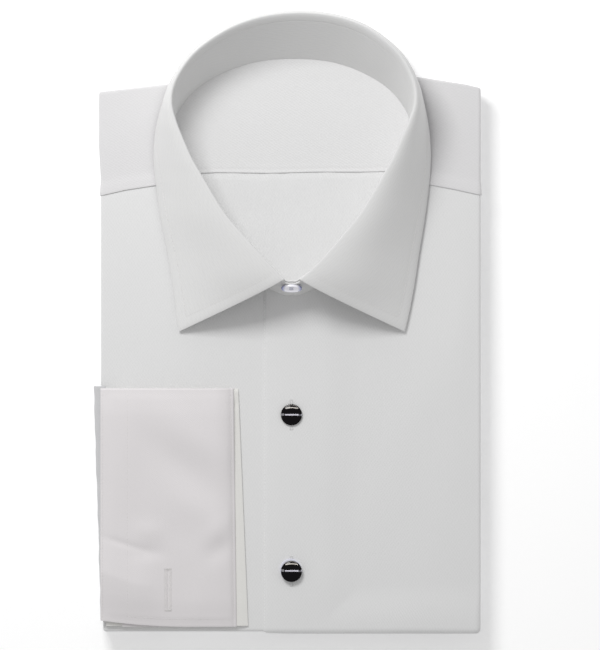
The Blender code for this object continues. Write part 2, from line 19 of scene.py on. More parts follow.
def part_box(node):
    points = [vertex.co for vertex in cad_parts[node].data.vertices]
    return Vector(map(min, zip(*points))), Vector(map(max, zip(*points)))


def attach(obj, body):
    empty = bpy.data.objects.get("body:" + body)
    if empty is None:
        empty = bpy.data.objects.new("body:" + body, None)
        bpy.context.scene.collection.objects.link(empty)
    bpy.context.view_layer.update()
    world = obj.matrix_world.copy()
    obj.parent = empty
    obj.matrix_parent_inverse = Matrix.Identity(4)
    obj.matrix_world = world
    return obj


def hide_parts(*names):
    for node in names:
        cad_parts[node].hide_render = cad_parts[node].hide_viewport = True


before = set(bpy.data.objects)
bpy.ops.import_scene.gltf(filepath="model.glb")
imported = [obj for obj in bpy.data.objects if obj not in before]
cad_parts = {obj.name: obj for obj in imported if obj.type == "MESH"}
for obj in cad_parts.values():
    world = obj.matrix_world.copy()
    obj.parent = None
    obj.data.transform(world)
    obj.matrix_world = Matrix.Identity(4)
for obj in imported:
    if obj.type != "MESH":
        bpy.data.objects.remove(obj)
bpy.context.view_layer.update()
MM = 0.001

# %% [markdown]
# ## The camera comes first
# The shirt lies on a table and is seen from straight above. A long lens far
# away keeps the sides of the pack upright and the studs round, as a catalogue
# picture does. The view is centred a little above the middle of the pack,
# because the collar stands out beyond it.

# %% Camera
VIEW_HEIGHT = 364.0        # stretch of table that fills the picture's long side
VIEW_CENTRE = (5.0, 18.5)  # where the lens points
REFERENCE_HEIGHT = 26.0    # height where the picture's scale is exact
SENSOR = 36.0
LENS = 700.0
FAR_LIMIT = 60.0           # metres that the camera sees
camera_data = bpy.data.cameras.new("camera")
camera_data.lens = LENS
camera_data.sensor_width = SENSOR
camera_data.clip_end = FAR_LIMIT
camera = bpy.data.objects.new("camera", camera_data)
bpy.context.scene.collection.objects.link(camera)
distance = VIEW_HEIGHT * LENS / SENSOR
camera.location = Vector((*VIEW_CENTRE, REFERENCE_HEIGHT + distance)) * MM
bpy.context.scene.camera = camera
print("camera stands", round(distance * MM, 2), "m above the cloth")

# %% [markdown]
# ## The pack: one form that every panel lies on
# A folded shirt is a slab with turned edges. Each panel can be thought of as
# flat cloth that is unrolled over the slab: inside the slab it lies level, and
# past the edge it goes round and down the side. So one function, `drape`,
# serves every panel, and layers never cut through each other, because each
# has its own lift above the base. The sizes come from the frame's boxes.

# %% Sizes read from the frame
def mm_box(node):
    low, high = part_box(node)
    return np.array(low) / MM, np.array(high) / MM


LEFT_LOW, LEFT_HIGH = mm_box("front_left")
RIGHT_LOW, RIGHT_HIGH = mm_box("front_right")
CUFF_LOW, CUFF_HIGH = mm_box("cuff_turnback")
STRIP_LOW, STRIP_HIGH = mm_box("cuff_lower")
SLEEVE_LOW, SLEEVE_HIGH = mm_box("sleeve_end")

PACK_TOP = RIGHT_HIGH[2]
LAYER = LEFT_HIGH[2] - RIGHT_HIGH[2]
HEM = RIGHT_LOW[1]
BODY_RIGHT = LEFT_HIGH[0]
PLACKET_EDGE = LEFT_LOW[0]
UNDERLAP_EDGE = RIGHT_HIGH[0]
SIDE_FOOT = LEFT_LOW[2]
EDGE_RADIUS = 1.6          # of the turn where a panel goes over the pack's edge
CLOTH = 0.5                # wall of one panel
DOWN_THE_SIDE = EDGE_RADIUS * math.pi / 2 + PACK_TOP - EDGE_RADIUS - SIDE_FOOT
print("pack top", round(PACK_TOP, 1), "layer", round(LAYER, 2),
      "sides run down", round(DOWN_THE_SIDE, 1))

# %% Outline of the pack and its seams
Mark = namedtuple("Mark", "at value")
LEFT_SIDE = (Mark(-155, -105.3), Mark(-100, -106.0), Mark(-12, -106.6),
             Mark(100, -106.7), Mark(118, -107.8), Mark(160, -107.8))
SHOULDERS = (Mark(-108, 149.2), Mark(-66, 154.0), Mark(-50, 161.0), Mark(-34, 168.0),
             Mark(-15, 172.3), Mark(5, 173.6), Mark(24, 172.3), Mark(40, 167.5),
             Mark(56, 160.5), Mark(69, 158.0), Mark(98, 153.4), Mark(107, 151.2))
YOKE_SEAM = (Mark(-107, 91.0), Mark(-93, 94.2), Mark(-76, 96.8), Mark(-59, 100.4),
             Mark(59, 100.4), Mark(78, 97.1), Mark(90.5, 94.8), Mark(107, 91.2))
INNER_SEAM = (Mark(-64, 103.3), Mark(-40, 104.0), Mark(-12, 103.6), Mark(14, 104.3),
              Mark(40, 104.3), Mark(64, 104.9))


def read(marks, at):
    return np.interp(at, [m.at for m in marks], [m.value for m in marks])


def ease(low, high, value):
    share = np.clip((value - low) / (high - low), 0.0, 1.0)
    return share * share * (3.0 - 2.0 * share)


def overlap_lift(x, y):
    """The left front rides one layer higher over the placket and the hem."""
    placket = 1.0 - ease(UNDERLAP_EDGE + 2.0, UNDERLAP_EDGE + 24.0, x)
    hem = 1.0 - ease(HEM + 4.0, HEM + 26.0, y)
    return LAYER * np.maximum(placket, hem)


def right_side(y):
    return BODY_RIGHT - overlap_lift(BODY_RIGHT, y)


def foot_channel(x, y):
    """Room below the fronts for the feet of the studs."""
    along = ease(HEM + 6.0, HEM + 20.0, y) * (1.0 - ease(0.0, 28.0, y))
    return LAYER * (1.0 - ease(7.0, 24.0, np.abs(x))) * along


# %% [markdown]
# Pressed cotton is never quite level. A few soft folds cross the fronts, and
# the hidden layers below print through as broad swells. Each row is one fold:
# where its middle lies, the way it runs, how wide and long it is and how high
# it stands. All layers share them, so the layers stay apart.

# %% Soft folds of the pack
Fold = namedtuple("Fold", "x y angle width length height")
PACK_FOLDS = (
    Fold(70, -30, 62, 13, 60, 0.42), Fold(40, -72, 58, 15, 46, -0.30),
    Fold(86, -84, 75, 16, 52, 0.30), Fold(58, -112, 40, 18, 40, -0.28),
    Fold(30, 0, 68, 14, 38, 0.25), Fold(-8, -70, 85, 11, 60, 0.22),
    Fold(78, 52, 80, 16, 44, -0.30), Fold(95, 10, 84, 9, 70, 0.26),
    Fold(-70, 60, 95, 18, 50, 0.30), Fold(-88, 20, 70, 12, 40, -0.24),
    Fold(-50, -6, 12, 10, 34, 0.22), Fold(-30, 10, 60, 14, 36, -0.20),
    Fold(18, -128, 20, 14, 44, 0.24), Fold(76, -140, 8, 10, 40, 0.30),
    Fold(-90, 126, 30, 14, 36, 0.24), Fold(88, 126, -20, 15, 34, -0.24),
    Fold(0, 132, 5, 16, 42, 0.30), Fold(-24, 84, -6, 9, 40, -0.25),
    Fold(22, 78, 12, 10, 32, 0.25))


def folds_at(folds, x, y):
    height = np.zeros_like(x, dtype=float)
    for f in folds:
        c, s = math.cos(math.radians(f.angle)), math.sin(math.radians(f.angle))
        along = (x - f.x) * c + (y - f.y) * s
        across = -(x - f.x) * s + (y - f.y) * c
        height += f.height * np.exp(-(across / f.width) ** 2 - (along / f.length) ** 2)
    return height


def crown(x, y):
    """The pack is a little fuller in the middle than along its edges."""
    side = np.clip(np.abs(x) / 106.0, 0, 1) ** 6
    ends = np.clip(np.abs(y) / 156.0, 0, 1) ** 8
    return -0.9 * side - 0.8 * ends


def pack_form(x, y):
    return folds_at(PACK_FOLDS, x, y) + crown(x, y)


def drape(x, y, lift):
    """Unrolled points of cloth put on the pack, lift above the base layer."""
    low_x = read(LEFT_SIDE, y) + EDGE_RADIUS
    high_x = right_side(y) - EDGE_RADIUS
    low_y = HEM + EDGE_RADIUS
    high_y = read(SHOULDERS, np.clip(x, low_x, high_x)) - EDGE_RADIUS
    past_x = np.minimum(x - low_x, 0.0) + np.maximum(x - high_x, 0.0)
    past_y = np.minimum(y - low_y, 0.0) + np.maximum(y - high_y, 0.0)
    big = np.maximum(np.abs(past_x), np.abs(past_y))
    small = np.minimum(np.abs(past_x), np.abs(past_y))
    swing = math.pi / 4 * small / np.maximum(big, 1e-9)
    swing = np.where(np.abs(past_y) > np.abs(past_x), math.pi / 2 - swing, swing)
    turn = np.minimum(big / EDGE_RADIUS, math.pi / 2)
    down = np.maximum(big - EDGE_RADIUS * math.pi / 2, 0.0)
    reach = (EDGE_RADIUS + lift) * np.sin(turn)
    level = PACK_TOP - EDGE_RADIUS + (EDGE_RADIUS + lift) * np.cos(turn) - down
    flat_x, flat_y = x - past_x, y - past_y
    settle = pack_form(flat_x, flat_y) * (1.0 - 0.6 * turn / (math.pi / 2))
    return np.stack((flat_x + np.sign(past_x) * reach * np.cos(swing),
                     flat_y + np.sign(past_y) * reach * np.sin(swing),
                     level + settle), axis=-1)


print("folds on the pack:", len(PACK_FOLDS))

# %% [markdown]
# ## The neck, section by section
# A collar is easiest to describe by sections, like the ribs of a boat. Each
# row stands for one section on both sides of the neck, from centre front to
# centre back: the seam at the foot of the band, the crest where the leaf folds
# over, and the leaf's free edge. `fullness` says how far the cloth runs out
# level before it falls, and `middle` is the line the two halves mirror about,
# which leans to one side at the back. A smooth curve through the rows gives
# any place between them.

# %% Collar sections
Section = namedtuple("Section", "seam_half seam_y crest_half crest_y crest_z "
                                "edge_half edge_y edge_z fullness middle")
COLLAR = (
    Section(0.0, 36.0, 0.0, 42.6, 44.6, 58.5, 6.0, 20.0, 9, 0.3),
    Section(5.0, 36.3, 4.7, 43.8, 45.0, 63.3, 14.8, 20.0, 10, 0.4),
    Section(16.5, 42.0, 14.4, 52.9, 45.8, 67.1, 36.0, 19.9, 18, 1.3),
    Section(29.5, 54.0, 26.7, 66.6, 46.2, 70.8, 59.0, 19.8, 17, 1.2),
    Section(41.0, 67.5, 38.1, 80.3, 46.4, 74.2, 78.0, 19.8, 14, 0.9),
    Section(49.0, 81.0, 46.0, 93.0, 46.6, 76.3, 93.0, 19.8, 11, 0.8),
    Section(54.8, 92.0, 51.8, 103.1, 46.8, 77.5, 104.0, 19.9, 9, 0.7),
    Section(59.0, 101.5, 56.6, 111.6, 46.9, 78.0, 113.5, 20.0, 8, 0.6),
    Section(63.0, 113.0, 61.4, 122.4, 47.0, 77.6, 122.5, 20.2, 7, 0.6),
    Section(65.6, 124.0, 65.6, 132.5, 47.0, 76.3, 131.5, 20.4, 6, 0.8),
    Section(65.4, 134.5, 68.3, 142.5, 47.0, 73.7, 142.0, 20.5, 4.6, 1.2),
    Section(61.0, 142.8, 67.2, 153.3, 47.0, 69.8, 153.5, 20.0, 3.4, 1.7),
    Section(54.0, 150.6, 61.1, 165.4, 46.9, 62.6, 166.8, 14.0, 2.6, 2.5),
    Section(45.0, 156.8, 52.0, 175.1, 46.8, 53.2, 176.8, 10.5, 2.2, 3.1),
    Section(32.0, 162.8, 37.3, 184.9, 46.6, 38.0, 186.5, 9.0, 2.0, 4.2),
    Section(17.5, 166.6, 20.2, 190.8, 46.3, 20.5, 192.3, 8.2, 2.0, 4.7),
    Section(0.0, 167.8, 0.0, 192.9, 46.2, 0.0, 194.3, 8.0, 2.0, 4.8))
BACK = len(COLLAR) - 1
LOOP = 2 * BACK
ROLL = 1.3                 # half width of the fold on the crest
SEAM_DROP = 5.0            # depth of the seam of leaf and band below the crest
COLLAR_WALL = 0.9


def section_rows(side):
    rows = []
    for s in COLLAR:
        seam_middle = 0.3 + 0.3 * (s.middle - 0.3)
        rows.append((side * s.seam_half + seam_middle, s.seam_y,
                     side * s.crest_half + s.middle, s.crest_y, s.crest_z,
                     side * s.edge_half + s.middle, s.edge_y, s.edge_z, s.fullness))
    return rows


LEFT_ROWS = np.array(section_rows(-1) + section_rows(1)[-2:0:-1])
RIGHT_ROWS = LEFT_ROWS.copy()
RIGHT_ROWS[0] = section_rows(1)[0]


def neck_rows(at):
    """Smooth reading of the sections, one to each whole place round the loop."""
    at = np.asarray(at, dtype=float)
    base = np.floor(at).astype(int)
    t = (at - base)[..., None]
    right = (at >= BACK)[..., None]

    def row(k):
        place = (base + k) % LOOP
        return np.where(right, RIGHT_ROWS[place], LEFT_ROWS[place])

    before, here, after, beyond = (row(k) for k in (-1, 0, 1, 2))
    rise, fall = (after - before) / 2, (beyond - here) / 2
    return ((2 * t**3 - 3 * t**2 + 1) * here + (t**3 - 2 * t**2 + t) * rise
            + (3 * t**2 - 2 * t**3) * after + (t**3 - t**2) * fall)


def outward(at, first):
    """Unit direction out of the neck, in plan, of the curve in two columns."""
    run = neck_rows(at + 0.05) - neck_rows(at - 0.05)
    run = run[..., first:first + 2]
    out = np.stack((-run[..., 1], run[..., 0], np.zeros_like(run[..., 0])), axis=-1)
    return out / np.linalg.norm(out, axis=-1, keepdims=True)


def seam_points(at, inward=0.0):
    rows = neck_rows(at)
    flat = np.stack((rows[..., 0], rows[..., 1], np.zeros_like(rows[..., 0])), axis=-1)
    return flat - inward * outward(at, 0)


print("collar sections:", len(COLLAR), "round the neck:", LOOP, "places")

# %% [markdown]
# ## Cloth from a grid
# Woven cloth is itself a grid, so a grid is the natural start. `cloth_piece`
# takes Blender's flat grid, moves every vertex to the place that a shape
# function gives for it, and keeps the unrolled coordinates as a UV map in
# metres, so that the weave later follows the cloth over folds. A Solidify
# modifier gives the wall, and a small Bevel rounds its raw rim as a pressed
# seam does.

# %% Helpers that cut and place cloth
def finish_mesh(bm, name, replaced=(), smooth=True):
    """A working mesh in millimetres becomes a finished piece on the frame."""
    bmesh.ops.scale(bm, vec=(MM, MM, MM), verts=bm.verts)
    mesh = bpy.data.meshes.new(name)
    bm.to_mesh(mesh)
    bm.free()
    if smooth:
        mesh.shade_smooth()
    piece = bpy.data.objects.new(name, mesh)
    bpy.context.scene.collection.objects.link(piece)
    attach(piece, "root")
    if replaced:
        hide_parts(*replaced)
    return piece


def gather(share, strength):
    """Spread grid lines so that they lie closer together at both ends."""
    return (1 - strength) * share + strength * share * share * (3 - 2 * share)


def grid_normals(points):
    normals = np.cross(np.gradient(points, axis=0), np.gradient(points, axis=1))
    return normals / np.maximum(np.linalg.norm(normals, axis=2, keepdims=True), 1e-9)


def cloth_piece(name, points, flat, wall, replaced=(), flip=False, rim=0.3):
    """Cloth through a grid of points, with its unrolled sizes as a UV map."""
    columns, rows = points.shape[:2]
    bm = bmesh.new()
    bmesh.ops.create_grid(bm, x_segments=columns - 1, y_segments=rows - 1, size=0.5)
    uv = bm.loops.layers.uv.new("cloth")
    for vert in bm.verts:
        i = round((vert.co.x + 0.5) * (columns - 1))
        j = round((vert.co.y + 0.5) * (rows - 1))
        vert.co = points[i, j]
        vert.index = i * rows + j
    spread = flat.reshape(-1, 2) * MM
    for face in bm.faces:
        for loop in face.loops:
            loop[uv].uv = spread[loop.vert.index]
    if flip:
        bmesh.ops.reverse_faces(bm, faces=bm.faces)
    piece = finish_mesh(bm, name, replaced)
    solid = piece.modifiers.new("wall", 'SOLIDIFY')
    solid.thickness = wall * MM
    solid.offset = -1.0
    edge = piece.modifiers.new("rim", 'BEVEL')
    edge.width = rim * MM
    edge.segments = 2
    edge.limit_method = 'ANGLE'
    edge.angle_limit = math.radians(55)
    print(name, "grid", columns, "x", rows)
    return piece


def plan_grid(columns, rows):
    """Shares across and along, as two arrays of the grid's shape."""
    return np.meshgrid(np.linspace(0, 1, columns), np.linspace(0, 1, rows), indexing="ij")


# %% [markdown]
# ## Fronts
# Each front is cut from the neckline and the yoke seam down to the folded
# tail. The left one laps over the right along the placket, so its free edge
# shows as a fine line from collar to hem. The edge is turned twice on the real
# shirt, which makes it a little thicker and gives it a soft roll.

# %% Fronts
def neckline(x):
    """Front neck edge of the panels, which is hidden below the collar."""
    places = np.concatenate((np.linspace(8, 0, 81), np.linspace(LOOP, LOOP - 8, 81)[1:]))
    points = seam_points(places, inward=0.2)
    order = np.argsort(points[:, 0])
    return np.interp(x, points[order, 0], points[order, 1])


NECK_HALF = 58.5           # half width of the neckline where it meets the yoke seam
TUCK = 1.4                 # depth of the fronts' top edge below the yoke
SETTLED = LAYER - CLOTH - 0.12   # how far the left front sinks beside its free edge
EDGE_DROP, EDGE_SLOPE = 0.85, 1.7   # the very edge slopes down onto the right front
EDGE_REACH = 0.5           # and ends a little past the frame's edge


def front_top(x):
    return np.where(np.abs(x) < NECK_HALF, neckline(x), read(YOKE_SEAM, x) + TUCK)


def front_piece(name, side, start, lift_at, columns, rows):
    """A front from its placket edge at start over one side, and over the hem."""
    u, v = plan_grid(columns, rows)
    u, v = gather(u, 0.55), gather(v, 0.45)
    low_edge = HEM + EDGE_RADIUS - DOWN_THE_SIDE
    y = front_top(start + u * side * 110) + 0 * v
    for _ in range(2):
        turn = read(LEFT_SIDE, y) + EDGE_RADIUS if side < 0 else right_side(y) - EDGE_RADIUS
        x = start + u * (turn + side * DOWN_THE_SIDE - start)
        top = front_top(np.clip(x, -106.0, 105.0))
        y = top + v * (low_edge - top)
    lift = lift_at(x, y)
    edge = np.abs(x - start)
    settled = SETTLED if side > 0 else 0.1
    lift = lift - settled * np.exp(-edge / 7.0) * (1 - ease(0, 30, edge))
    lift = lift - (side > 0) * EDGE_DROP * np.clip(1 - edge / EDGE_SLOPE, 0, 1)
    below_seam = read(YOKE_SEAM, x) + TUCK - y
    lift = lift - 0.12 * (1 - ease(0.5, 5.0, below_seam)) * (np.abs(x) > NECK_HALF)
    flat = np.stack((x, y), axis=-1)
    return cloth_piece(name, drape(x, y, lift), flat, CLOTH, (name[6:],),
                       flip=side > 0)


front_left = front_piece("cloth_front_left", 1, PLACKET_EDGE - EDGE_REACH,
                         overlap_lift, 96, 150)
front_right = front_piece("cloth_front_right", -1, UNDERLAP_EDGE,
                          lambda x, y: np.zeros_like(x), 90, 150)

# %% [markdown]
# ## Yoke and back
# The yoke is a double piece over the shoulders. Its outer layer laps over the
# fronts, and the turned edge stands proud, which draws the fine dark line of
# the seam. Inside the neck the inner yoke laps over the back panel the same
# way. The seam is eased as it is sewn, so the back puckers a little below it.

# %% Yoke
def outer_rim(share):
    """Unrolled outer rim of the yoke, from the left seam round to the right."""
    far = DOWN_THE_SIDE
    left = float(read(LEFT_SIDE, 130)) + EDGE_RADIUS - far
    right = BODY_RIGHT - EDGE_RADIUS + far
    left_top = float(read(SHOULDERS, left + far)) - EDGE_RADIUS + far
    right_top = float(read(SHOULDERS, right - far)) - EDGE_RADIUS + far
    tops = np.linspace(left, right, 61)
    inside = np.clip(tops, left + far, right - far)
    corners = [(left, float(read(YOKE_SEAM, -107)))] + [(left, left_top)]
    corners += list(zip(tops[1:-1], read(SHOULDERS, inside[1:-1]) - EDGE_RADIUS + far))
    corners += [(right, right_top), (right, float(read(YOKE_SEAM, 107)))]
    path = np.array(corners)
    run = np.concatenate(([0], np.cumsum(np.linalg.norm(np.diff(path, axis=0), axis=1))))
    return np.stack((np.interp(share * run[-1], run, path[:, 0]),
                     np.interp(share * run[-1], run, path[:, 1])), axis=-1)


def yoke_piece():
    u, v = plan_grid(230, 46)
    v = gather(v, 0.5)
    neck = seam_points(7.0 + u * (LOOP - 14.0), inward=-COLLAR_WALL - 0.3)[..., :2]
    flat = neck + (outer_rim(u) - neck) * v[..., None]
    for row, from_end in ((0, u), (-1, 1 - u)):
        sag = read(YOKE_SEAM, flat[row, :, 0]) - flat[row, :, 1]
        flat[..., 1] += (1.0 - ease(0.0, 0.10, from_end)) * sag
    x, y = flat[..., 0], flat[..., 1]
    above = y - read(YOKE_SEAM, x)
    beside = np.abs(x) > 50
    proud = 0.62 * (1.0 - ease(1.5, 9.0, above))
    lift = (proud - 0.10 * np.exp(-((above - 2.2) / 0.8) ** 2)) * beside
    return cloth_piece("cloth_yoke", drape(x, y, lift), flat, CLOTH, ("yoke",))


yoke = yoke_piece()


# %% Back panel and inner yoke, seen through the neck
PANEL_HALF = 99.0


def pucker(x, y):
    """Small gathers just below the inner yoke's seam, of uneven spacing."""
    below = read(INNER_SEAM, x) - y
    wave = np.sin(x / 3.1 + 1.4 * np.sin(x / 11.0)) + 0.6 * np.sin(x / 1.7 + 2.0)
    return 0.11 * wave * np.exp(-np.clip(below, 0, 60) / 5.0) * (below > -1)


def back_piece():
    u, v = plan_grid(110, 130)
    x = -PANEL_HALF + u * (2 * PANEL_HALF)
    top = read(INNER_SEAM, x) + 1.2
    y = top + gather(v, 0.3) * (HEM + 4.4 - top)
    below = read(INNER_SEAM, x) - y
    lift = -LAYER - foot_channel(x, y) - 0.5 * (1 - ease(0, 3.5, below)) + pucker(x, y)
    flat = np.stack((x, y), axis=-1)
    return cloth_piece("cloth_back_panel", drape(x, y, lift), flat, CLOTH,
                       ("back_panel",), flip=True)


def inner_yoke_piece():
    u, v = plan_grid(120, 60)
    x = -PANEL_HALF + u * (2 * PANEL_HALF)
    low = read(INNER_SEAM, x)
    y = low + gather(v, 0.4) * (read(SHOULDERS, x) - 4.0 - low)
    above = y - low
    proud = 0.15 * (1 - ease(0.6, 5.0, above))
    lift = -LAYER + proud - 0.2 * np.exp(-((above - 2.0) / 0.7) ** 2)
    flat = np.stack((x, y), axis=-1)
    return cloth_piece("cloth_inner_yoke", drape(x, y, lift), flat, CLOTH,
                       ("inside_yoke",))


back = back_piece()
inner_yoke = inner_yoke_piece()

# %% [markdown]
# ## Collar band
# The band is a strip of two plies with a stiffener between, standing round the
# neck. Its ends lap at centre front, the wearer's left over the right, and the
# button closes them. It is one long strip here too: the hidden end runs on
# inside the other, and the foot goes down between the panels to the seam.

# %% Band
UNDER_END = -1.9           # places where the band's lapped ends stop
OVER_END = LOOP + 1.7
PLACE_RUN = 13.2           # length of cloth from one place to the next
BAND_RISE = 30.0           # length of cloth from the band's foot to its top


def band_foot(at):
    """Inner foot of the band, on the fronts ahead and on the inner yoke behind."""
    foot = seam_points(at)
    behind = ease(6.5, 8.5, BACK - np.abs(at - BACK))
    ahead = PACK_TOP + overlap_lift(np.abs(foot[..., 0]), foot[..., 1]) + 0.1
    foot[..., 2] = ahead + behind * (PACK_TOP - LAYER + 0.1 - ahead)
    foot[..., 2] += pack_form(foot[..., 0], foot[..., 1])
    return foot


def inner_turn(at):
    """Crest, inner side of the fold and unit direction from there to the foot."""
    crest = neck_rows(at)[..., 2:5]
    turn = crest - ROLL * outward(at, 2)
    slope = band_foot(at) - turn
    return crest, turn, slope / np.linalg.norm(slope, axis=-1, keepdims=True)


def band_surface(at, rise):
    """Inner face of the band: rise is 0 at the foot and 1 at the leaf's seam."""
    turn, slope = inner_turn(at)[1:]
    top = turn + (SEAM_DROP + 0.12) * slope
    foot = band_foot(at)
    tuck = (COLLAR_WALL + 0.35) * (1.0 - ease(1.9, 4.2, at))
    belly = 0.25 * np.sin(math.pi * np.clip(rise, 0, 1))
    point = foot + (top - foot) * rise[..., None]
    return point - (tuck + belly)[..., None] * outward(at, 0)


def band_piece():
    u, v = plan_grid(320, 26)
    at = UNDER_END + gather(u, 0.1) * (OVER_END - UNDER_END)
    rise = gather(v, 0.4)
    from_end = np.minimum(at - UNDER_END, OVER_END - at)
    rounding = 0.35 * (1.0 - ease(0.0, 0.55, from_end)) ** 2
    rise = rise * (1.0 - rounding)
    points = band_surface(at, rise)
    flat = np.stack((PLACE_RUN * at, BAND_RISE * rise), axis=-1)
    return cloth_piece("cloth_collar_band", points, flat, COLLAR_WALL,
                       ("collar_band",))


band = band_piece()

# %% [markdown]
# ## Collar leaf
# The leaf rolls over the top of the band and falls outside it. Along its free
# edge it is turned, pressed and stitched six millimetres in, so the edge is
# firm and slightly puffed outside the stitching. A distance to the nearest
# edge, measured on the grid itself, places the groove and the stitches, and it
# turns the corner at each point without any special case.

# %% Leaf surface
LEAF_START, LEAF_END = 1.0, LOOP - 1.0
LEAF_FOLDS = (  # place, share down the leaf, spread in places, spread in share, height
    (3.2, 0.62, 1.5, 0.30, -0.55), (5.5, 0.55, 1.3, 0.28, 0.40),
    (2.0, 0.35, 1.0, 0.20, 0.35), (8.0, 0.70, 1.6, 0.35, -0.30),
    (28.4, 0.60, 1.6, 0.30, -0.50), (26.0, 0.55, 1.4, 0.30, 0.45),
    (30.2, 0.40, 0.9, 0.20, 0.35), (23.6, 0.65, 1.6, 0.30, -0.35),
    (13.0, 0.5, 1.8, 0.35, 0.35), (18.0, 0.5, 1.8, 0.35, -0.35))


def leaf_surface(at, fall):
    """Outer face: fall runs from -1 at the inner seam, 0 on the crest, to 1 at the edge."""
    rows = neck_rows(at)
    edge, fullness = rows[..., 5:8], rows[..., 8:9]
    out = outward(at, 2)
    crest, turn, slope = inner_turn(at)
    inner = np.clip(-fall, 0, 1)[..., None]
    before = ((1 - inner)**2 * crest + 2 * (1 - inner) * inner * turn
              + inner**2 * (turn + SEAM_DROP * slope))
    drop = edge - crest
    heading = np.concatenate((drop[..., :2], 0 * drop[..., :1]), axis=-1) + 30.0 * out
    heading = heading / np.linalg.norm(heading, axis=-1, keepdims=True)
    full = crest + fullness * heading
    low = edge + 0.35 * (full - edge)
    t = np.clip(fall, 0, 1)[..., None]
    after = ((1 - t)**3 * crest + 3 * (1 - t)**2 * t * full
             + 3 * (1 - t) * t**2 * low + t**3 * edge)
    return np.where(fall[..., None] < 0, before, after)


def near_distance(points, line):
    """Distance from each grid point to the nearest point of a line of points."""
    flat = points.reshape(-1, 3)
    best = np.full(len(flat), 1e9)
    for chunk in np.array_split(line, max(1, len(line) // 40)):
        gap = np.linalg.norm(flat[:, None, :] - chunk[None], axis=2).min(axis=1)
        best = np.minimum(best, gap)
    return best.reshape(points.shape[:2])


def run_down(points):
    """Length along each grid line from its first point."""
    steps = np.linalg.norm(np.diff(points, axis=1), axis=2)
    start = np.zeros((len(points), 1))
    return np.cumsum(np.concatenate((start, steps), axis=1), axis=1)


# %% Leaf piece
STITCH_IN = 6.0            # distance of the stitching from the leaf's edge
INNER_SHARE = 0.16         # part of the leaf's grid inside the crest
u, v = plan_grid(300, 64)
leaf_at = LEAF_START + gather(u, 0.35) * (LEAF_END - LEAF_START)
leaf_fall = np.where(v < INNER_SHARE, v / INNER_SHARE - 1.0,
                     gather((v - INNER_SHARE) / (1 - INNER_SHARE), 0.35))
leaf_points = leaf_surface(leaf_at, leaf_fall)
for place, share, wide, deep, height in LEAF_FOLDS:
    bump = height * np.exp(-((leaf_at - place) / wide) ** 2 - ((leaf_fall - share) / deep) ** 2)
    leaf_points[..., 2] += bump * (leaf_fall > 0) * np.sin(np.clip(leaf_fall, 0, 1) * math.pi)
leaf_rim = np.concatenate((leaf_points[0, 10:], leaf_points[:, -1], leaf_points[-1, 10:]))
edge_gap = near_distance(leaf_points, leaf_rim)
leaf_normals = grid_normals(leaf_points)
if leaf_normals[:, 20, 2].mean() < 0:
    leaf_normals = -leaf_normals
puff = (-0.08 * np.exp(-((edge_gap - STITCH_IN) / 0.8) ** 2)
        + 0.04 * np.exp(-((edge_gap - 2.8) / 1.8) ** 2)
        - 0.22 * np.exp(-(edge_gap / 0.9) ** 2)) * (leaf_fall > 0.03)
leaf_points = leaf_points + puff[..., None] * leaf_normals
leaf_flat = np.stack((PLACE_RUN * leaf_at, run_down(leaf_points)), axis=-1)
leaf = cloth_piece("cloth_collar_leaf", leaf_points, leaf_flat, COLLAR_WALL,
                   ("collar_leaf",))

# %% [markdown]
# ## Double cuff
# A double cuff is made twice as deep as it shows and folded back on itself.
# Pressed flat for packing it is a tube lying on its side: the fold at the top
# joins the upper half to the lower one, and the lower half peeps out as a
# strip on the right. The upper half here is one sheet that runs from its
# stitched free edge to the turn-back fold and returns below. Its soft creases
# are listed one by one, each as a ridge or a trough.

# %% Cuff form
CUFF_TOP, CUFF_BOTTOM = CUFF_HIGH[1], CUFF_LOW[1]
CUFF_FREE = CUFF_LOW[0]    # where the stitched free edge lies
CUFF_WALL, CUFF_RIM = 0.5, 0.18
FOLD_RADIUS = 0.62         # pressed folds are thin at the fold itself
FULL_RADIUS = 1.15         # and loftier inside
CUFF_FOLDS = (
    Fold(-63, -60, -41, 9.0, 25, -1.55), Fold(-51, -46, -41, 9.0, 25, 1.25),
    Fold(-50, -86, -30, 8.0, 24, 0.75), Fold(-67, -97, -24, 7.0, 18, -0.35),
    Fold(-41, -108, 40, 5.5, 8, -0.95), Fold(-42, -97, 40, 6.0, 9, 0.75),
    Fold(-80, -109, 0, 4.0, 9, -0.70), Fold(-79, -97, 0, 6.0, 9, 0.80),
    Fold(-94, -104, -17, 1.8, 13, -0.50), Fold(-94, -60, 82, 9.0, 30, 0.45),
    Fold(-50, -132, 80, 8.0, 20, 0.45))
CREASE = (Mark(-107.0, -99.2), Mark(-90.0, -105.7), Mark(-77.5, -107.8), Mark(-68.0, -113.0),
          Mark(-60.0, -122.0))


def cuff_fold_x(y):
    return -32.2 + 1.7 * (CUFF_TOP - y) / (CUFF_TOP - CUFF_BOTTOM)


def cuff_strip_x(y):
    return -29.4 + 5.6 * (CUFF_TOP - y) / (CUFF_TOP - CUFF_BOTTOM)


def cuff_low_edge(x):
    """The lower edge swings up towards the free corner."""
    return CUFF_BOTTOM + 3.4 * np.clip((-58.0 - x) / 48.0, 0, 1) ** 2.0


def half_height(from_fold):
    return FOLD_RADIUS + (FULL_RADIUS - FOLD_RADIUS) * ease(0.0, 11.0, from_fold)


def pressed_low(x, y):
    """The plies are pressed thinner towards the sewn lower edge."""
    return 0.78 + 0.22 * ease(0.0, 16.0, y - cuff_low_edge(x))


CUFF_SUNK, STRIP_SUNK = 0.45, 0.35


def edge_sink(depth, from_fold):
    """The fold is pressed into the layer below it, so that no gap shows."""
    return depth * (1 - ease(0.0, 4.0, from_fold))


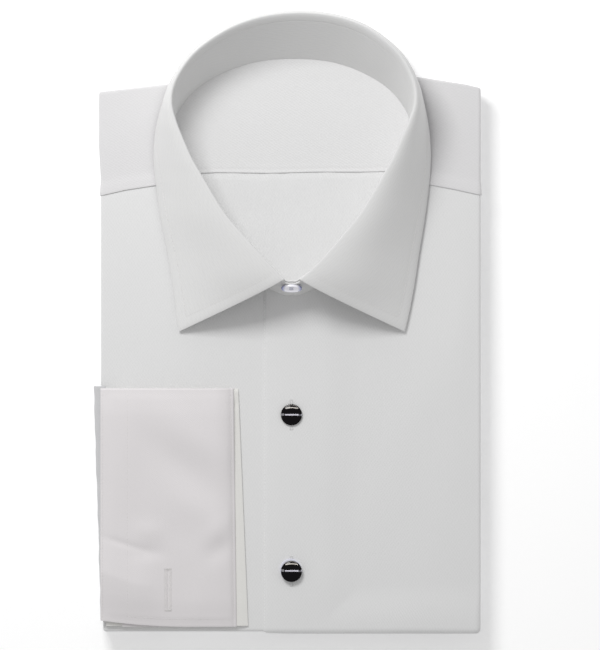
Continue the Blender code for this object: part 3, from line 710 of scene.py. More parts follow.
def strip_top(x, y):
    tall = half_height(cuff_strip_x(y) - x) * pressed_low(x, y)
    return STRIP_LOW[2] - edge_sink(STRIP_SUNK, cuff_strip_x(y) - x) + 2.0 * tall


def folded_over(run, start, fold):
    """A sheet from start that turns back at fold: place across, share above."""
    level = fold - FOLD_RADIUS - start
    arc = np.clip((run - level) / FOLD_RADIUS, 0, math.pi)
    back = np.maximum(run - level - math.pi * FOLD_RADIUS, 0)
    x = np.minimum(run, level) + start + FOLD_RADIUS * np.sin(arc) - back
    return x, (1 + np.cos(arc)) / 2


def cuff_puff(x, y):
    """Height that the soft folds give to the upper ply."""
    inside = ease(0, 7, CUFF_TOP - y) * ease(0, 6, y - cuff_low_edge(x))
    inside = inside * ease(0, 8, x - CUFF_FREE) * ease(0, 5, cuff_fold_x(y) - x)
    below = read(CREASE, x) - y
    bulge = np.clip(below / 20.0, 0, 1) * (1 - ease(19, 44, below))
    bulge = 2.1 * bulge * (1 - ease(-86, -66, x))
    arched = 1.0 * ease(0, 16, CUFF_TOP - y) * (1 - ease(16, 60, CUFF_TOP - y))
    return folds_at(CUFF_FOLDS, x, y) * (0.35 + 0.65 * inside) + bulge + arched + 0.5 * inside


# %% Cuff rows of stitching and the buttonhole
CUFF_HEM_LINE = CUFF_FREE + 15.0   # long row of stitches beside the free edge
CUFF_LOW_LINE = 4.1        # row above the lower edge
CUFF_FOLD_LINE = 1.7       # row beside the fold
HOLE_X, HOLE_LOW, HOLE_HIGH = -69.0, -141.8, -118.0
HOLE_HALF = 2.2


def cuff_groove(x, y):
    """Troughs where stitching draws the plies together, and the cut buttonhole."""
    low = y - cuff_low_edge(x)
    groove = 0.05 * np.exp(-((x - CUFF_HEM_LINE) / 0.6) ** 2)
    groove += 0.05 * np.exp(-((low - CUFF_LOW_LINE) / 0.6) ** 2) * (x > CUFF_HEM_LINE)
    groove += 0.25 * np.exp(-((x - CUFF_FREE) / 0.7) ** 2)
    groove += 0.14 * np.exp(-((cuff_fold_x(y) - CUFF_FOLD_LINE - x) / 0.5) ** 2)
    in_hole = ease(HOLE_LOW, HOLE_LOW + 1.2, y) * (1 - ease(HOLE_HIGH - 1.2, HOLE_HIGH, y))
    return groove + 0.3 * in_hole * np.exp(-((x - HOLE_X) / 0.28) ** 2)


def cuff_face(run, y):
    """Outer face of the folded sheet: run is the distance from the free edge."""
    within = np.minimum(y, CUFF_TOP)
    fold = cuff_fold_x(within)
    x, share = folded_over(run, CUFF_FREE, fold)
    tall = half_height(fold - x) * pressed_low(x, within)
    bed = strip_top(np.minimum(x, fold), within) + 0.12 - edge_sink(CUFF_SUNK, fold - x)
    bed = bed + pack_form(x, within)
    raised = 2 * tall * share + share * (cuff_puff(x, within) - cuff_groove(x, within))
    past = np.maximum(y - CUFF_TOP + FULL_RADIUS, 0.0)
    turn = np.clip(past / (FULL_RADIUS * 1.3), 0, math.pi / 2)
    sink = (1 - np.cos(turn)) * raised * 0.9
    edge_y = np.where(past > 0, CUFF_TOP - FULL_RADIUS + FULL_RADIUS * np.sin(turn), y)
    return np.stack((x, edge_y, bed + raised - sink), axis=-1)


def fine_steps(total, count, near, reach, extra):
    """Even grid lines with extra ones close to some places."""
    lines = [np.linspace(0.0, total, count)]
    lines += [np.linspace(max(0.0, p - reach), min(total, p + reach), extra) for p in near]
    merged = np.unique(np.round(np.concatenate(lines), 4))
    return merged[np.concatenate(([True], np.diff(merged) > total / count / 5))]


# %% Cuff pieces
CUFF_TOP_RUN = cuff_fold_x(CUFF_TOP) - CUFF_FREE
RETURN_RUN = 64.0          # length of the sheet that goes back below
cuff_total = CUFF_TOP_RUN + 2.4 + RETURN_RUN
fine_places = (0.4, CUFF_HEM_LINE - CUFF_FREE, HOLE_X - CUFF_FREE, CUFF_TOP_RUN)
run_lines = fine_steps(cuff_total, 120, fine_places, 1.8, 13)
run_lines = np.concatenate((run_lines[:-1], [cuff_total]))
down_lines = fine_steps(1.0, 110, (0.004, 0.97), 0.012, 8)
cuff_run, cuff_down = np.meshgrid(run_lines, down_lines, indexing="ij")
rough_x = np.minimum(cuff_run, CUFF_TOP_RUN) + CUFF_FREE
cuff_start = CUFF_TOP + 0.6
cuff_y = cuff_start + cuff_down * (cuff_low_edge(rough_x) - cuff_start)
cuff_points = cuff_face(cuff_run, cuff_y)
cuff_flat = np.stack((cuff_run, cuff_y), axis=-1)
cuff = cloth_piece("cloth_cuff_turnback", cuff_points, cuff_flat, CUFF_WALL,
                   ("cuff_turnback",), flip=True, rim=CUFF_RIM)


def strip_piece():
    """Lower half of the cuff: a flat envelope, pressed thin along its fold."""
    u, v = plan_grid(100, 120)
    head = STRIP_HIGH[1] + 0.3
    y = head + gather(v, 0.3) * (STRIP_LOW[1] - head)
    edge, start = cuff_strip_x(y), STRIP_LOW[0]
    level = edge - FOLD_RADIUS - start
    run = (2 * level + math.pi * FOLD_RADIUS) * (u + 0.11 * np.sin(2 * math.pi * u) / math.pi)
    x, share = folded_over(run, start, edge)
    tall = half_height(edge - x) * pressed_low(x, y)
    pinch = np.sqrt(np.clip(1 - (1 - np.clip((head - y) / 1.6, 0, 1)) ** 2, 0.05, 1))
    groove = 0.12 * np.exp(-((edge - x - 1.6) / 0.5) ** 2)
    dent = 0.55 * np.exp(-((x - edge + 2.6) / 1.8) ** 2 - ((y - CUFF_TOP + 9.0) / 2.4) ** 2)
    z = STRIP_LOW[2] - edge_sink(STRIP_SUNK, edge - x) + 2 * tall * share * pinch
    z = z - (groove + dent) * share + pack_form(x, y)
    points, flat = np.stack((x, y, z), axis=-1), np.stack((run, y), axis=-1)
    return cloth_piece("cloth_cuff_lower", points, flat, CUFF_WALL,
                       ("cuff_lower",), flip=True, rim=CUFF_RIM)


cuff_strip = strip_piece()

# %% [markdown]
# ## Sleeve end
# The sleeve comes from behind the pack, turns round its left edge and goes
# into the cuff. Only a sliver shows from above, wider at the top where the
# sleeve still has its fullness.

# %% Sleeve end
SLEEVE_REACH = (Mark(-146.6, -106.9), Mark(-132.1, -107.2), Mark(-93.5, -108.2),
                Mark(-54.9, -109.6), Mark(-15.8, -110.7))


def sleeve_piece():
    u, v = plan_grid(120, 44)
    y = SLEEVE_HIGH[1] + u * (SLEEVE_LOW[1] - SLEEVE_HIGH[1])
    reach = read(SLEEVE_REACH, y) + 0.12 * np.sin(y / 4.3) + 0.08 * np.sin(y / 1.9 + 1)
    top, start = SLEEVE_HIGH[2], SLEEVE_HIGH[0]
    path_x = np.stack((start + 0 * y, start + 0.45 * (reach - start), reach + 0.9, reach + 0.1,
                       reach, reach + 0.1, reach + 0.4, reach + 0.8), axis=-1)
    path_z = np.array((top, top - 0.2, top - 1.6, top - 4.0, 13.0, 8.0, 3.4, SLEEVE_LOW[2]))
    knots = np.linspace(0, 1, 8)
    x = np.zeros_like(y)
    z = np.zeros_like(y)
    for i in range(y.shape[0]):
        x[i] = np.interp(v[i], knots, path_x[i, 0])
        z[i] = np.interp(v[i], knots, path_z)
    for _ in range(3):
        x[:, 1:-1] = (x[:, :-2] + 2 * x[:, 1:-1] + x[:, 2:]) / 4
        z[:, 1:-1] = (z[:, :-2] + 2 * z[:, 1:-1] + z[:, 2:]) / 4
    z = z + pack_form(x, y) * (1 - ease(0.3, 0.6, v))
    points = np.stack((x, y, z), axis=-1)
    flat = np.stack((run_down(points), y), axis=-1)
    return cloth_piece("cloth_sleeve_end", points, flat, CLOTH,
                       ("sleeve_end",), flip=True, rim=0.2)


sleeve = sleeve_piece()

# %% [markdown]
# ## Hidden layers
# Behind the fronts the sides, the back, the tail and the sleeves are folded
# into a stack. From the side it shows as soft rounded folds, one above the
# other. It is one solid: an outline is extruded ring by ring down the side,
# and each ring is drawn in or let out by the bulge of its layer.

# %% Hidden layers
FOLDED_EDGES = (3.3, 6.8, 10.0)   # heights where two folded layers meet
STACK_RINGS = (12.0, 13.2)        # rings that close the top of the stack
CORNER_LEFT = -107.8


def layer_bulge(z):
    """How far a ring is drawn in at height z: deep in each groove."""
    bounds = (0.0,) + FOLDED_EDGES
    low = max(b for b in bounds if b <= z + 1e-6)
    high = min((b for b in bounds if b > z + 1e-6), default=FOLDED_EDGES[-1] + 3.3)
    share = (z - low) / (high - low)
    return 0.6 + 1.5 * (1.0 - math.sqrt(max(0.0, 1.0 - (2 * share - 1) ** 2)))


def pack_outline(count):
    """Outline of the pack in plan, with rounded corners, anticlockwise."""
    left, right = float(read(LEFT_SIDE, -150)), BODY_RIGHT - LAYER
    points = []
    xs = np.linspace(left, right, count // 4)
    points += [(x, HEM) for x in xs]
    ys = np.linspace(HEM, float(read(SHOULDERS, right)), count // 4)
    points += [(right + LAYER * float(ease(HEM + 4, HEM + 26, y)), y) for y in ys[1:]]
    xs = np.linspace(BODY_RIGHT, CORNER_LEFT, count // 4)
    points += [(x, float(read(SHOULDERS, x))) for x in xs[1:]]
    ys = np.linspace(float(read(SHOULDERS, CORNER_LEFT)), HEM, count // 4)
    points += [(float(read(LEFT_SIDE, y)), y) for y in ys[1:-1]]
    return np.array(points)


def hidden_piece():
    outline = pack_outline(320)
    for _ in range(2):
        outline = (np.roll(outline, 1, 0) + 2 * outline + np.roll(outline, -1, 0)) / 4
    run = np.roll(outline, -1, 0) - np.roll(outline, 1, 0)
    out = np.stack((run[:, 1], -run[:, 0]), axis=1) / np.linalg.norm(run, axis=1)[:, None]
    bm = bmesh.new()
    ring = bmesh.ops.create_circle(bm, segments=len(outline), radius=1.0)["verts"]
    edges = list(bm.edges)
    heights = np.concatenate([np.linspace(a, b, 8)[:-1] for a, b in zip(
        (0.0,) + FOLDED_EDGES[:-1], FOLDED_EDGES)] + [[FOLDED_EDGES[-1], *STACK_RINGS]])
    faces_low = bmesh.ops.contextual_create(bm, geom=edges)["faces"]
    for level, z in enumerate(heights):
        if level:
            made = bmesh.ops.extrude_edge_only(bm, edges=edges)["geom"]
            ring = [g for g in made if isinstance(g, bmesh.types.BMVert)]
            edges = [g for g in made if isinstance(g, bmesh.types.BMEdge)
                     and all(v in set(ring) for v in g.verts)]
        inset = layer_bulge(z) if z < 11 else 2.4
        for k, vert in enumerate(ring):
            sway = 0.25 * math.sin(k * 0.21 + 2.1 * z) + 0.15 * math.sin(k * 0.083 - z)
            vert.co = (*(outline[k] - (inset + (sway if z > 0.2 else 0)) * out[k]), z)
    bmesh.ops.contextual_create(bm, geom=edges)
    bmesh.ops.recalc_face_normals(bm, faces=bm.faces)
    print("hidden layers:", len(bm.faces), "faces,", len(faces_low), "base")
    piece = finish_mesh(bm, "folded_stack", ("folded_layers",))
    piece.data.set_sharp_from_angle(angle=math.radians(60))
    return piece


hidden = hidden_piece()

# %% [markdown]
# ## Studs, disc and collar button
# Turned parts are made as on a lathe: half of the outline is drawn once and
# spun round an axis. A stud has a gently domed, polished black cap on a post
# with a foot behind the cloth. A real lathe leaves no sharp rim, so the rim of
# the outline is rounded too. The button has a raised rim and a dished face,
# and a few turns of thread hold it.

# %% Lathe
def turned(outline, steps=72):
    """Spin a half outline of (radius, height) points round the Z axis."""
    bm = bmesh.new()
    verts = [bm.verts.new((r, 0.0, z)) for r, z in outline]
    edges = [bm.edges.new(pair) for pair in zip(verts, verts[1:])]
    bmesh.ops.spin(bm, geom=verts + edges, cent=(0, 0, 0), axis=(0, 0, 1), dvec=(0, 0, 0),
                   angle=math.tau, steps=steps, use_merge=True)
    bmesh.ops.remove_doubles(bm, verts=bm.verts, dist=0.0005)
    bmesh.ops.recalc_face_normals(bm, faces=bm.faces)
    return bm


def round_corner(x, z, radius, start, stop, count=6):
    angles = np.radians(np.linspace(start, stop, count))
    return [(x + radius * math.cos(a), z + radius * math.sin(a)) for a in angles]


# %% Studs
DOME_RADIUS = 12.0         # of the sphere that the cap's face is cut from
CAP_RIM = 0.28             # rounding of the cap's rim
CAP_DEPTH = 1.1            # from the rim down to the seat on the cloth
SEAT_STEP = 0.9            # how far the seat stands in from the rim
POST_RADIUS = 1.2
FOOT_RADIUS, FOOT_THICK = 4.0, 0.8


def stud_piece(node):
    low, high = mm_box(node)
    middle = (low + high) / 2
    radius = (high[0] - low[0]) / 2
    flat_edge = radius - CAP_RIM
    rise = DOME_RADIUS - math.sqrt(DOME_RADIUS ** 2 - flat_edge ** 2)
    rim_top = high[2] - rise
    seat, foot_top = rim_top - CAP_DEPTH, low[2] + FOOT_THICK
    dome = [(r, rim_top + math.sqrt(DOME_RADIUS ** 2 - r * r) - DOME_RADIUS + rise)
            for r in np.linspace(0.0, flat_edge, 16)]
    outline = dome + round_corner(flat_edge, rim_top - CAP_RIM, CAP_RIM, 75, -30)
    outline += [(radius - SEAT_STEP, seat), (POST_RADIUS, seat), (POST_RADIUS, foot_top),
                (FOOT_RADIUS, foot_top), (FOOT_RADIUS, low[2]), (0.0, low[2])]
    bm = turned(outline)
    bmesh.ops.translate(bm, verts=bm.verts, vec=(middle[0], middle[1], 0))
    piece = finish_mesh(bm, "cap_" + node, (node,))
    piece.data.set_sharp_from_angle(angle=math.radians(35))
    return piece


studs = [stud_piece("stud_upper"), stud_piece("stud_lower")]
print("studs:", [s.name for s in studs])


# %% Collar button
BUTTON_RADIUS, BUTTON_THICK = 5.75, 1.5
BUTTON_ROUND = 0.5         # rounding of the rim
HOLE_ROW = 1.5             # rows of thread above and below the middle
BUTTON_THREAD = 0.34


def button_piece():
    low, high = mm_box("collar_button")
    centre_front = np.array(float(LOOP))
    foot, top = band_foot(centre_front), inner_turn(centre_front)[1]
    up = (top - foot) / np.linalg.norm(top - foot)
    side = np.array((1.0, 0.0, 0.0))
    face = np.cross(side, up)
    face = -face if face[1] > 0 else face
    radius, rim, bend = BUTTON_RADIUS, BUTTON_THICK, BUTTON_ROUND
    outline = [(0.0, 0.0), (radius - 0.6, 0.0)]
    outline += round_corner(radius - bend, bend, bend, -60, 0, 4)
    outline += round_corner(radius - 0.55, rim - bend, bend, 0, 120, 7)
    outline += [(radius - 1.6, rim - 0.35), (radius - 2.4, rim - 0.5), (0.0, rim - 0.42)]
    bm = turned(outline)
    shell = len(bm.faces)
    for row in (-HOLE_ROW, HOLE_ROW):
        for shift in (-0.22, 0.12):
            add_thread(bm, Vector((-1.4, row + shift, rim - 0.36)),
                       Vector((1.1, row + shift, rim - 0.36)), BUTTON_THREAD)
    # The thread takes the second slot. Its dark blue-grey is painted shade where the button's
    # holes lie.
    for thread_face in list(bm.faces)[shell:]:
        thread_face.material_index = 1
    uv = bm.loops.layers.uv.new("cloth")
    for vert_face in bm.faces:
        for loop in vert_face.loops:
            loop[uv].uv = (loop.vert.co.x * MM, loop.vert.co.y * MM)
    centre = (low + high) / 2 - face * rim / 2
    tilt = Matrix((side, up, face)).transposed()
    for vert in bm.verts:
        vert.co = tilt @ vert.co + Vector(centre)
    piece = finish_mesh(bm, "button_collar", ("collar_button",))
    piece.data.set_sharp_from_angle(angle=math.radians(40))
    return piece


def add_thread(bm, start, end, thick):
    """One stitch: a short rounded length of thread, swollen in the middle."""
    run = end - start
    turn = run.to_track_quat('Z', 'Y').to_matrix().to_4x4()
    made = bmesh.ops.create_uvsphere(bm, u_segments=6, v_segments=4, radius=0.5)["verts"]
    shape = Matrix.Translation((start + end) / 2) @ turn @ Matrix.Diagonal(
        (thick, thick, run.length * 1.06, 1.0))
    bmesh.ops.transform(bm, matrix=shape, verts=made)


button = button_piece()
print("button:", button.name, "faces:", len(button.data.polygons))

# %% [markdown]
# ## Stitches
# Rows of stitching are real little lengths of thread, laid along a path on the
# cloth. A path is sampled finely, then cut into equal steps with a gap between
# two stitches. The buttonholes are worked the other way: short stitches across
# the slit, side by side, with a bar at each end.

# %% Sewing helpers
STITCH, PITCH = 1.25, 1.75   # length of a stitch, and from one to the next
THREAD = 0.24              # thickness
BAR_STEP = 0.55            # spacing of the stitches worked round a buttonhole


def along(path, spacing):
    """Points at equal steps along a path, from half a step in."""
    steps = np.linalg.norm(np.diff(path[:, :3], axis=0), axis=1)
    run = np.concatenate(([0], np.cumsum(steps)))
    marks = np.arange(spacing / 2, run[-1], spacing)
    return np.stack([np.interp(marks, run, path[:, k]) for k in range(path.shape[1])], axis=1)


def sew_rows(name, paths, bars=()):
    """All stitches of one seam as one piece: rows along paths, then loose bars."""
    bm = bmesh.new()
    count = 0
    for path in paths:
        fine = along(np.asarray(path), PITCH / 2)[:, :3]
        for k in range(0, len(fine) - 1, 2):
            a, b = Vector(fine[k]), Vector(fine[k + 1])
            middle, half = (a + b) / 2, (b - a).normalized() * STITCH / 2
            add_thread(bm, middle - half, middle + half, THREAD)
            count += 1
    for a, b in bars:
        add_thread(bm, Vector(a), Vector(b), THREAD * 0.9)
        count += 1
    print(name, "stitches:", count)
    return finish_mesh(bm, name)


# %% Collar stitching
def crossing(values, level):
    """Share of an index at which a monotone run of values passes a level."""
    k = int(np.argmax((values[:-1] - level) * (values[1:] - level) <= 0))
    return k + (level - values[k]) / (values[k + 1] - values[k] + 1e-9)


def grid_read(grid, i, j):
    i0, j0 = int(i), int(j)
    i1, j1 = min(i0 + 1, grid.shape[0] - 1), min(j0 + 1, grid.shape[1] - 1)
    s, t = i - i0, j - j0
    return ((1 - s) * (1 - t) * grid[i0, j0] + s * (1 - t) * grid[i1, j0]
            + (1 - s) * t * grid[i0, j1] + s * t * grid[i1, j1])


to_free = near_distance(leaf_points, leaf_points[:, -1])
to_start = near_distance(leaf_points, leaf_points[0, 8:])
to_end = near_distance(leaf_points, leaf_points[-1, 8:])
leaf_skin = leaf_points + 0.05 * leaf_normals
rows_from = int(np.argmax(leaf_fall[0] > 0.06))
leaf_path = []
for j in range(rows_from, leaf_points.shape[1]):
    i = crossing(to_start[:120, j], STITCH_IN)
    if grid_read(to_free, i, j) > STITCH_IN:
        leaf_path.append(grid_read(leaf_skin, i, j))
for i in range(leaf_points.shape[0]):
    if to_start[i, -8] > STITCH_IN and to_end[i, -8] > STITCH_IN:
        j = crossing(to_free[i, rows_from:], STITCH_IN) + rows_from
        if min(grid_read(to_start, i, j), grid_read(to_end, i, j)) > STITCH_IN:
            leaf_path.append(grid_read(leaf_skin, i, j))
for j in range(leaf_points.shape[1] - 1, rows_from, -1):
    i = leaf_points.shape[0] - 1 - crossing(to_end[::-1][:120, j], STITCH_IN)
    if grid_read(to_free, i, j) > STITCH_IN:
        leaf_path.append(grid_read(leaf_skin, i, j))
collar_stitches = sew_rows("stitches_collar", [leaf_path])


# %% Cuff stitching and buttonhole
def cuff_line(xs, ys, proud=0.06):
    run = np.asarray(xs, dtype=float) - CUFF_FREE
    points = cuff_face(run, np.asarray(ys, dtype=float))
    points[..., 2] += proud
    return points


rows_y = np.linspace(CUFF_TOP - 3.0, CUFF_BOTTOM + 4.5, 160)
low_x = np.linspace(CUFF_HEM_LINE, -33.5, 120)
cuff_paths = [cuff_line(np.full_like(rows_y, CUFF_FREE + 0.9), rows_y, 0.12),
              cuff_line(np.full_like(rows_y, CUFF_HEM_LINE), rows_y, 0.03),
              cuff_line(cuff_fold_x(rows_y) - CUFF_FOLD_LINE, rows_y, 0.12),
              cuff_line(low_x, cuff_low_edge(low_x) + CUFF_LOW_LINE, 0.05)]
hole_bars = []
for y in np.arange(HOLE_LOW + 0.8, HOLE_HIGH - 0.6, BAR_STEP):
    for side in (-1, 1):
        ends = cuff_line([HOLE_X + side * 0.35, HOLE_X + side * HOLE_HALF], [y, y], 0.065)
        hole_bars.append(tuple(ends))
for end_y in (HOLE_LOW + 0.3, HOLE_HIGH - 0.3):
    for step in (-0.35, 0.0, 0.35):
        hole_bars.append(tuple(cuff_line([HOLE_X - HOLE_HALF, HOLE_X + HOLE_HALF],
                                         [end_y + step] * 2, 0.065)))
cuff_stitches = sew_rows("stitches_cuff", cuff_paths, hole_bars)


# %% Buttonholes of the studs
FRONT_HOLE_HALF = 8.4      # from the middle of a buttonhole to the bar at its end


def front_skin(x, y):
    """Points on the left front's face."""
    x, y = np.asarray(x, dtype=float), np.asarray(y, dtype=float)
    return drape(x, y, overlap_lift(x, y))


front_bars = []
for stud in studs:
    middle = sum((Vector(c) for c in stud.bound_box), Vector()) / 8 / MM
    for step in np.arange(-8.1, 8.3, BAR_STEP):
        for side in (-1, 1):
            xs = np.array([middle.x + side * 0.3, middle.x + side * 1.05])
            ends = front_skin(xs, np.full(2, middle.y + step))
            ends[:, 2] += 0.10
            front_bars.append(tuple(ends))
    for step in (-FRONT_HOLE_HALF, FRONT_HOLE_HALF):
        xs = np.array([middle.x - 1.05, middle.x + 1.05])
        ends = front_skin(xs, np.full(2, middle.y + step))
        ends[:, 2] += 0.14
        front_bars.append(tuple(ends))
front_stitches = sew_rows("stitches_front", [], front_bars)

# %% Fine row along the placket's edge
# This row uses a thread brighter than the others: a painted highlight of the placket's folded
# edge catching the light.
edge_y = np.linspace(HEM + 2.0, 34.0, 220)
edge_row = front_skin(np.full_like(edge_y, PLACKET_EDGE + 0.55), edge_y)
edge_row[:, 2] -= SETTLED - 0.06
placket_stitches = sew_rows("stitches_placket", [edge_row])

# %% [markdown]
# ## Cloth finishes
# White cotton is never one flat colour. The body is a fine birdseye weave, so
# its threads make tiny lozenges. The collar is ribbed along its length, and
# the cuffs are a satin twill with a soft gloss. Each panel's finish reads its
# own UV map, which holds unrolled sizes in metres, so the weave turns with the
# cloth. The hidden stack has no such map and reads the object's coordinates.
# Sine waves across the threads give the pattern and also the bump, and two
# noises add slubs and slow clouds of tone.

# %% Node helpers
class Finish:
    """A material being mixed: `node` adds a node, wires or sets its inputs."""

    def __init__(self, name, roughness, specular, sheen=0.0):
        self.material = bpy.data.materials.new(name)
        self.material.use_nodes = True
        self.tree = self.material.node_tree
        self.surface = self.tree.nodes["Principled BSDF"]
        for socket, value in (("Roughness", roughness), ("Specular IOR Level", specular),
                              ("Sheen Weight", sheen)):
            self.surface.inputs[socket].default_value = value

    def node(self, kind, inputs, output=0, **settings):
        made = self.tree.nodes.new(kind)
        for key, value in settings.items():
            setattr(made, key, value)
        for key, value in inputs.items():
            if isinstance(value, bpy.types.NodeSocket):
                self.tree.links.new(value, made.inputs[key])
            else:
                made.inputs[key].default_value = value
        return made.outputs[output]

    def maths(self, operation, a, b=0.0):
        return self.node("ShaderNodeMath", {0: a, 1: b}, operation=operation)

    def wave(self, place, across_x, across_y):
        """Sine across the cloth, for thread spacings given in millimetres."""
        scale = math.tau / MM
        phase = self.node("ShaderNodeVectorMath", {0: place, 1: (
            scale * across_x, scale * across_y, 0.0)}, output=1, operation='DOT_PRODUCT')
        return self.maths('SINE', phase)

    def noise(self, place, size, detail=2.0, stretch=(1, 1, 1)):
        """Noise from -1 to 1, with features of a size in millimetres."""
        spread = self.node("ShaderNodeMapping", {"Vector": place, "Scale": stretch})
        value = self.node("ShaderNodeTexNoise", {"Vector": spread, "Scale": 1 / (size * MM),
                                                 "Detail": detail})
        return self.maths('MULTIPLY_ADD', value, 2.0)

    def colour(self, amount, dark, light):
        """Mix two colours by an amount from -1 to 1 and use it as the base colour."""
        share = self.node("ShaderNodeMapRange", {"Value": amount, "From Min": -1.0,
                                                 "From Max": 1.0})
        mixed = self.node("ShaderNodeMix", {0: share, 6: (*dark, 1), 7: (*light, 1)},
                          output=2, data_type='RGBA')
        self.tree.links.new(mixed, self.surface.inputs["Base Color"])

    def bump(self, height, depth):
        shaped = self.node("ShaderNodeBump", {"Height": height, "Distance": depth * MM,
                                              "Strength": 1.0})
        self.tree.links.new(shaped, self.surface.inputs["Normal"])


def shade(colour, share):
    return tuple(min(1.0, c * share) for c in colour)


def cloth_finish(name, colour, weave, roughness=0.85, specular=0.12, sheen=0.08,
                 depth=0.02, contrast=0.022, clouds=0.010, unrolled=True):
    """A woven white: weave(finish, place) gives its thread pattern, -1 to 1."""
    finish = Finish(name, roughness, specular, sheen)
    place = (finish.node("ShaderNodeUVMap", {}, uv_map="cloth") if unrolled
             else finish.node("ShaderNodeTexCoord", {}, output=3))
    drift = finish.node("ShaderNodeTexNoise", {"Vector": place, "Scale": 1 / (3.5 * MM)},
                        output=1)
    centred = finish.node("ShaderNodeVectorMath", {0: drift, 1: (0.5, 0.5, 0.5)},
                          operation='SUBTRACT')
    shift = finish.node("ShaderNodeVectorMath", {0: centred, 3: 2.6 * MM}, operation='SCALE')
    wandering = finish.node("ShaderNodeVectorMath", {0: place, 1: shift}, operation='ADD')
    threads = weave(finish, wandering)
    slub = finish.noise(place, 2.2, stretch=(1.0, 0.35, 1.0))
    cloud = finish.noise(place, 26.0)
    slubs = 0.4 * contrast
    total = contrast + slubs + clouds
    mix = finish.maths('MULTIPLY', threads, contrast / total)
    slub_part = finish.maths('MULTIPLY', slub, slubs / total)
    cloud_part = finish.maths('MULTIPLY', cloud, clouds / total)
    amount = finish.maths('ADD', finish.maths('ADD', mix, slub_part), cloud_part)
    finish.colour(amount, shade(colour, 1 - total), shade(colour, 1 + total))
    relief = finish.maths('ADD', threads, finish.maths('MULTIPLY', slub, 0.5))
    finish.bump(relief, depth)
    return finish.material


def lozenges(finish, place, rising, falling):
    """Two crossing waves add up to a staggered grid of small lozenges."""
    strong = finish.maths('MULTIPLY', finish.wave(place, *rising), 0.52)
    weak = finish.maths('MULTIPLY', finish.wave(place, *falling), 0.48)
    return finish.maths('ADD', strong, weak)


def birdseye(finish, place):
    return lozenges(finish, place, (0.62, 0.40), (0.58, -0.42))


def turned_birdseye(finish, place):
    return lozenges(finish, place, (0.40, 0.62), (-0.42, 0.58))


def ribs(finish, place):
    fine = finish.wave(place, 0.0, 0.72)
    broken = finish.wave(place, 0.22, 0.36)
    return finish.maths('ADD', finish.maths('MULTIPLY', fine, 0.65),
                        finish.maths('MULTIPLY', broken, 0.35))


def twill(finish, place):
    return finish.wave(place, 0.75, 0.95)


# %% Finishes and where they go
WHITE = (0.775, 0.775, 0.775)
finish_body = cloth_finish("birdseye_cotton", WHITE, birdseye)
# The outer yoke is the same white as the fronts. Its colour is painted a little darker, as
# painted shade that evens its tone with the fronts under the window.
finish_yoke_painted_shade = cloth_finish("birdseye_cotton_turned_painted_shade", (0.742, 0.735, 0.742), turned_birdseye)
finish_inner_yoke = cloth_finish("birdseye_cotton_inner", (0.775, 0.773, 0.774),
                                 turned_birdseye)
finish_collar = cloth_finish("ribbed_collar_cotton", (0.768, 0.767, 0.764), ribs,
                             contrast=0.02)
SATIN = {"roughness": 0.5, "specular": 0.28, "depth": 0.015, "contrast": 0.018}
finish_cuff = cloth_finish("satin_twill_cotton", (0.768, 0.742, 0.750), twill,
                           clouds=0.02, **SATIN)
# The cuff's lower half is the same twill as the turnback. It is painted lighter, as painted
# light where it lies low beside the fold.
finish_strip_painted_light = cloth_finish("satin_twill_cotton_painted_light", (0.83, 0.822, 0.795), twill,
                            **SATIN)
# The sleeve end is the shirt's own white. Its colour here is painted darker, as painted shade
# where it turns down round the pack's edge.
finish_sleeve_painted_shade = cloth_finish("sleeve_cotton_painted_shade", (0.60, 0.60, 0.61), birdseye)
finish_stack = cloth_finish("folded_cotton", (0.74, 0.74, 0.75), birdseye, unrolled=False)


def thread_finish(name, colour):
    finish = Finish(name, 0.6, 0.3, 0.1)
    place = finish.node("ShaderNodeTexCoord", {}, output=3)
    twist = finish.noise(place, 0.35)
    finish.colour(twist, shade(colour, 0.93), shade(colour, 1.04))
    return finish.material


finish_thread = thread_finish("white_thread", (0.80, 0.785, 0.775))
# The placket row's thread is a painted highlight, brighter than the white thread elsewhere.
finish_painted_highlight_thread = thread_finish("placket_painted_highlight_thread", (0.94, 0.94, 0.94))
# The studs' buttonholes are sewn in white thread. Their grey here is painted shade of the slit
# and the raised stitches.
finish_buttonhole_painted_shade_thread = thread_finish("stud_hole_painted_shade_thread", (0.70, 0.70, 0.70))

for piece, finish in ((front_left, finish_body), (front_right, finish_body),
                      (back, finish_body), (yoke, finish_yoke_painted_shade),
                      (inner_yoke, finish_inner_yoke), (band, finish_collar),
                      (leaf, finish_collar), (cuff, finish_cuff),
                      (cuff_strip, finish_strip_painted_light), (sleeve, finish_sleeve_painted_shade),
                      (hidden, finish_stack),
                      (collar_stitches, finish_thread), (cuff_stitches, finish_thread),
                      (front_stitches, finish_buttonhole_painted_shade_thread),
                      (placket_stitches, finish_painted_highlight_thread)):
    piece.data.materials.append(finish)
print("finishes:", len(bpy.data.materials))


# %% [markdown]
# ## Polish, pearl and shell
# Dress studs are often onyx or enamel, nearly black and very smooth, so they
# get hardly any colour and a low roughness. The button is pearl-like, and its
# colour shifts to blue towards its left and right. The pale disc keeps the
# solid model's own shape: only its object's material slot gets a finish.

# %% Black studs, pale disc and button
def stud_finish():
    finish = Finish("polished_black", 0.05, 0.13)
    place = finish.node("ShaderNodeTexCoord", {}, output=3)
    depth = finish.noise(place, 1.6, detail=4.0)
    finish.colour(depth, (0.0010, 0.0020, 0.0024), (0.0032, 0.0024, 0.0036))
    swirl = finish.noise(place, 4.0)
    finish.bump(swirl, 0.004)
    return finish.material


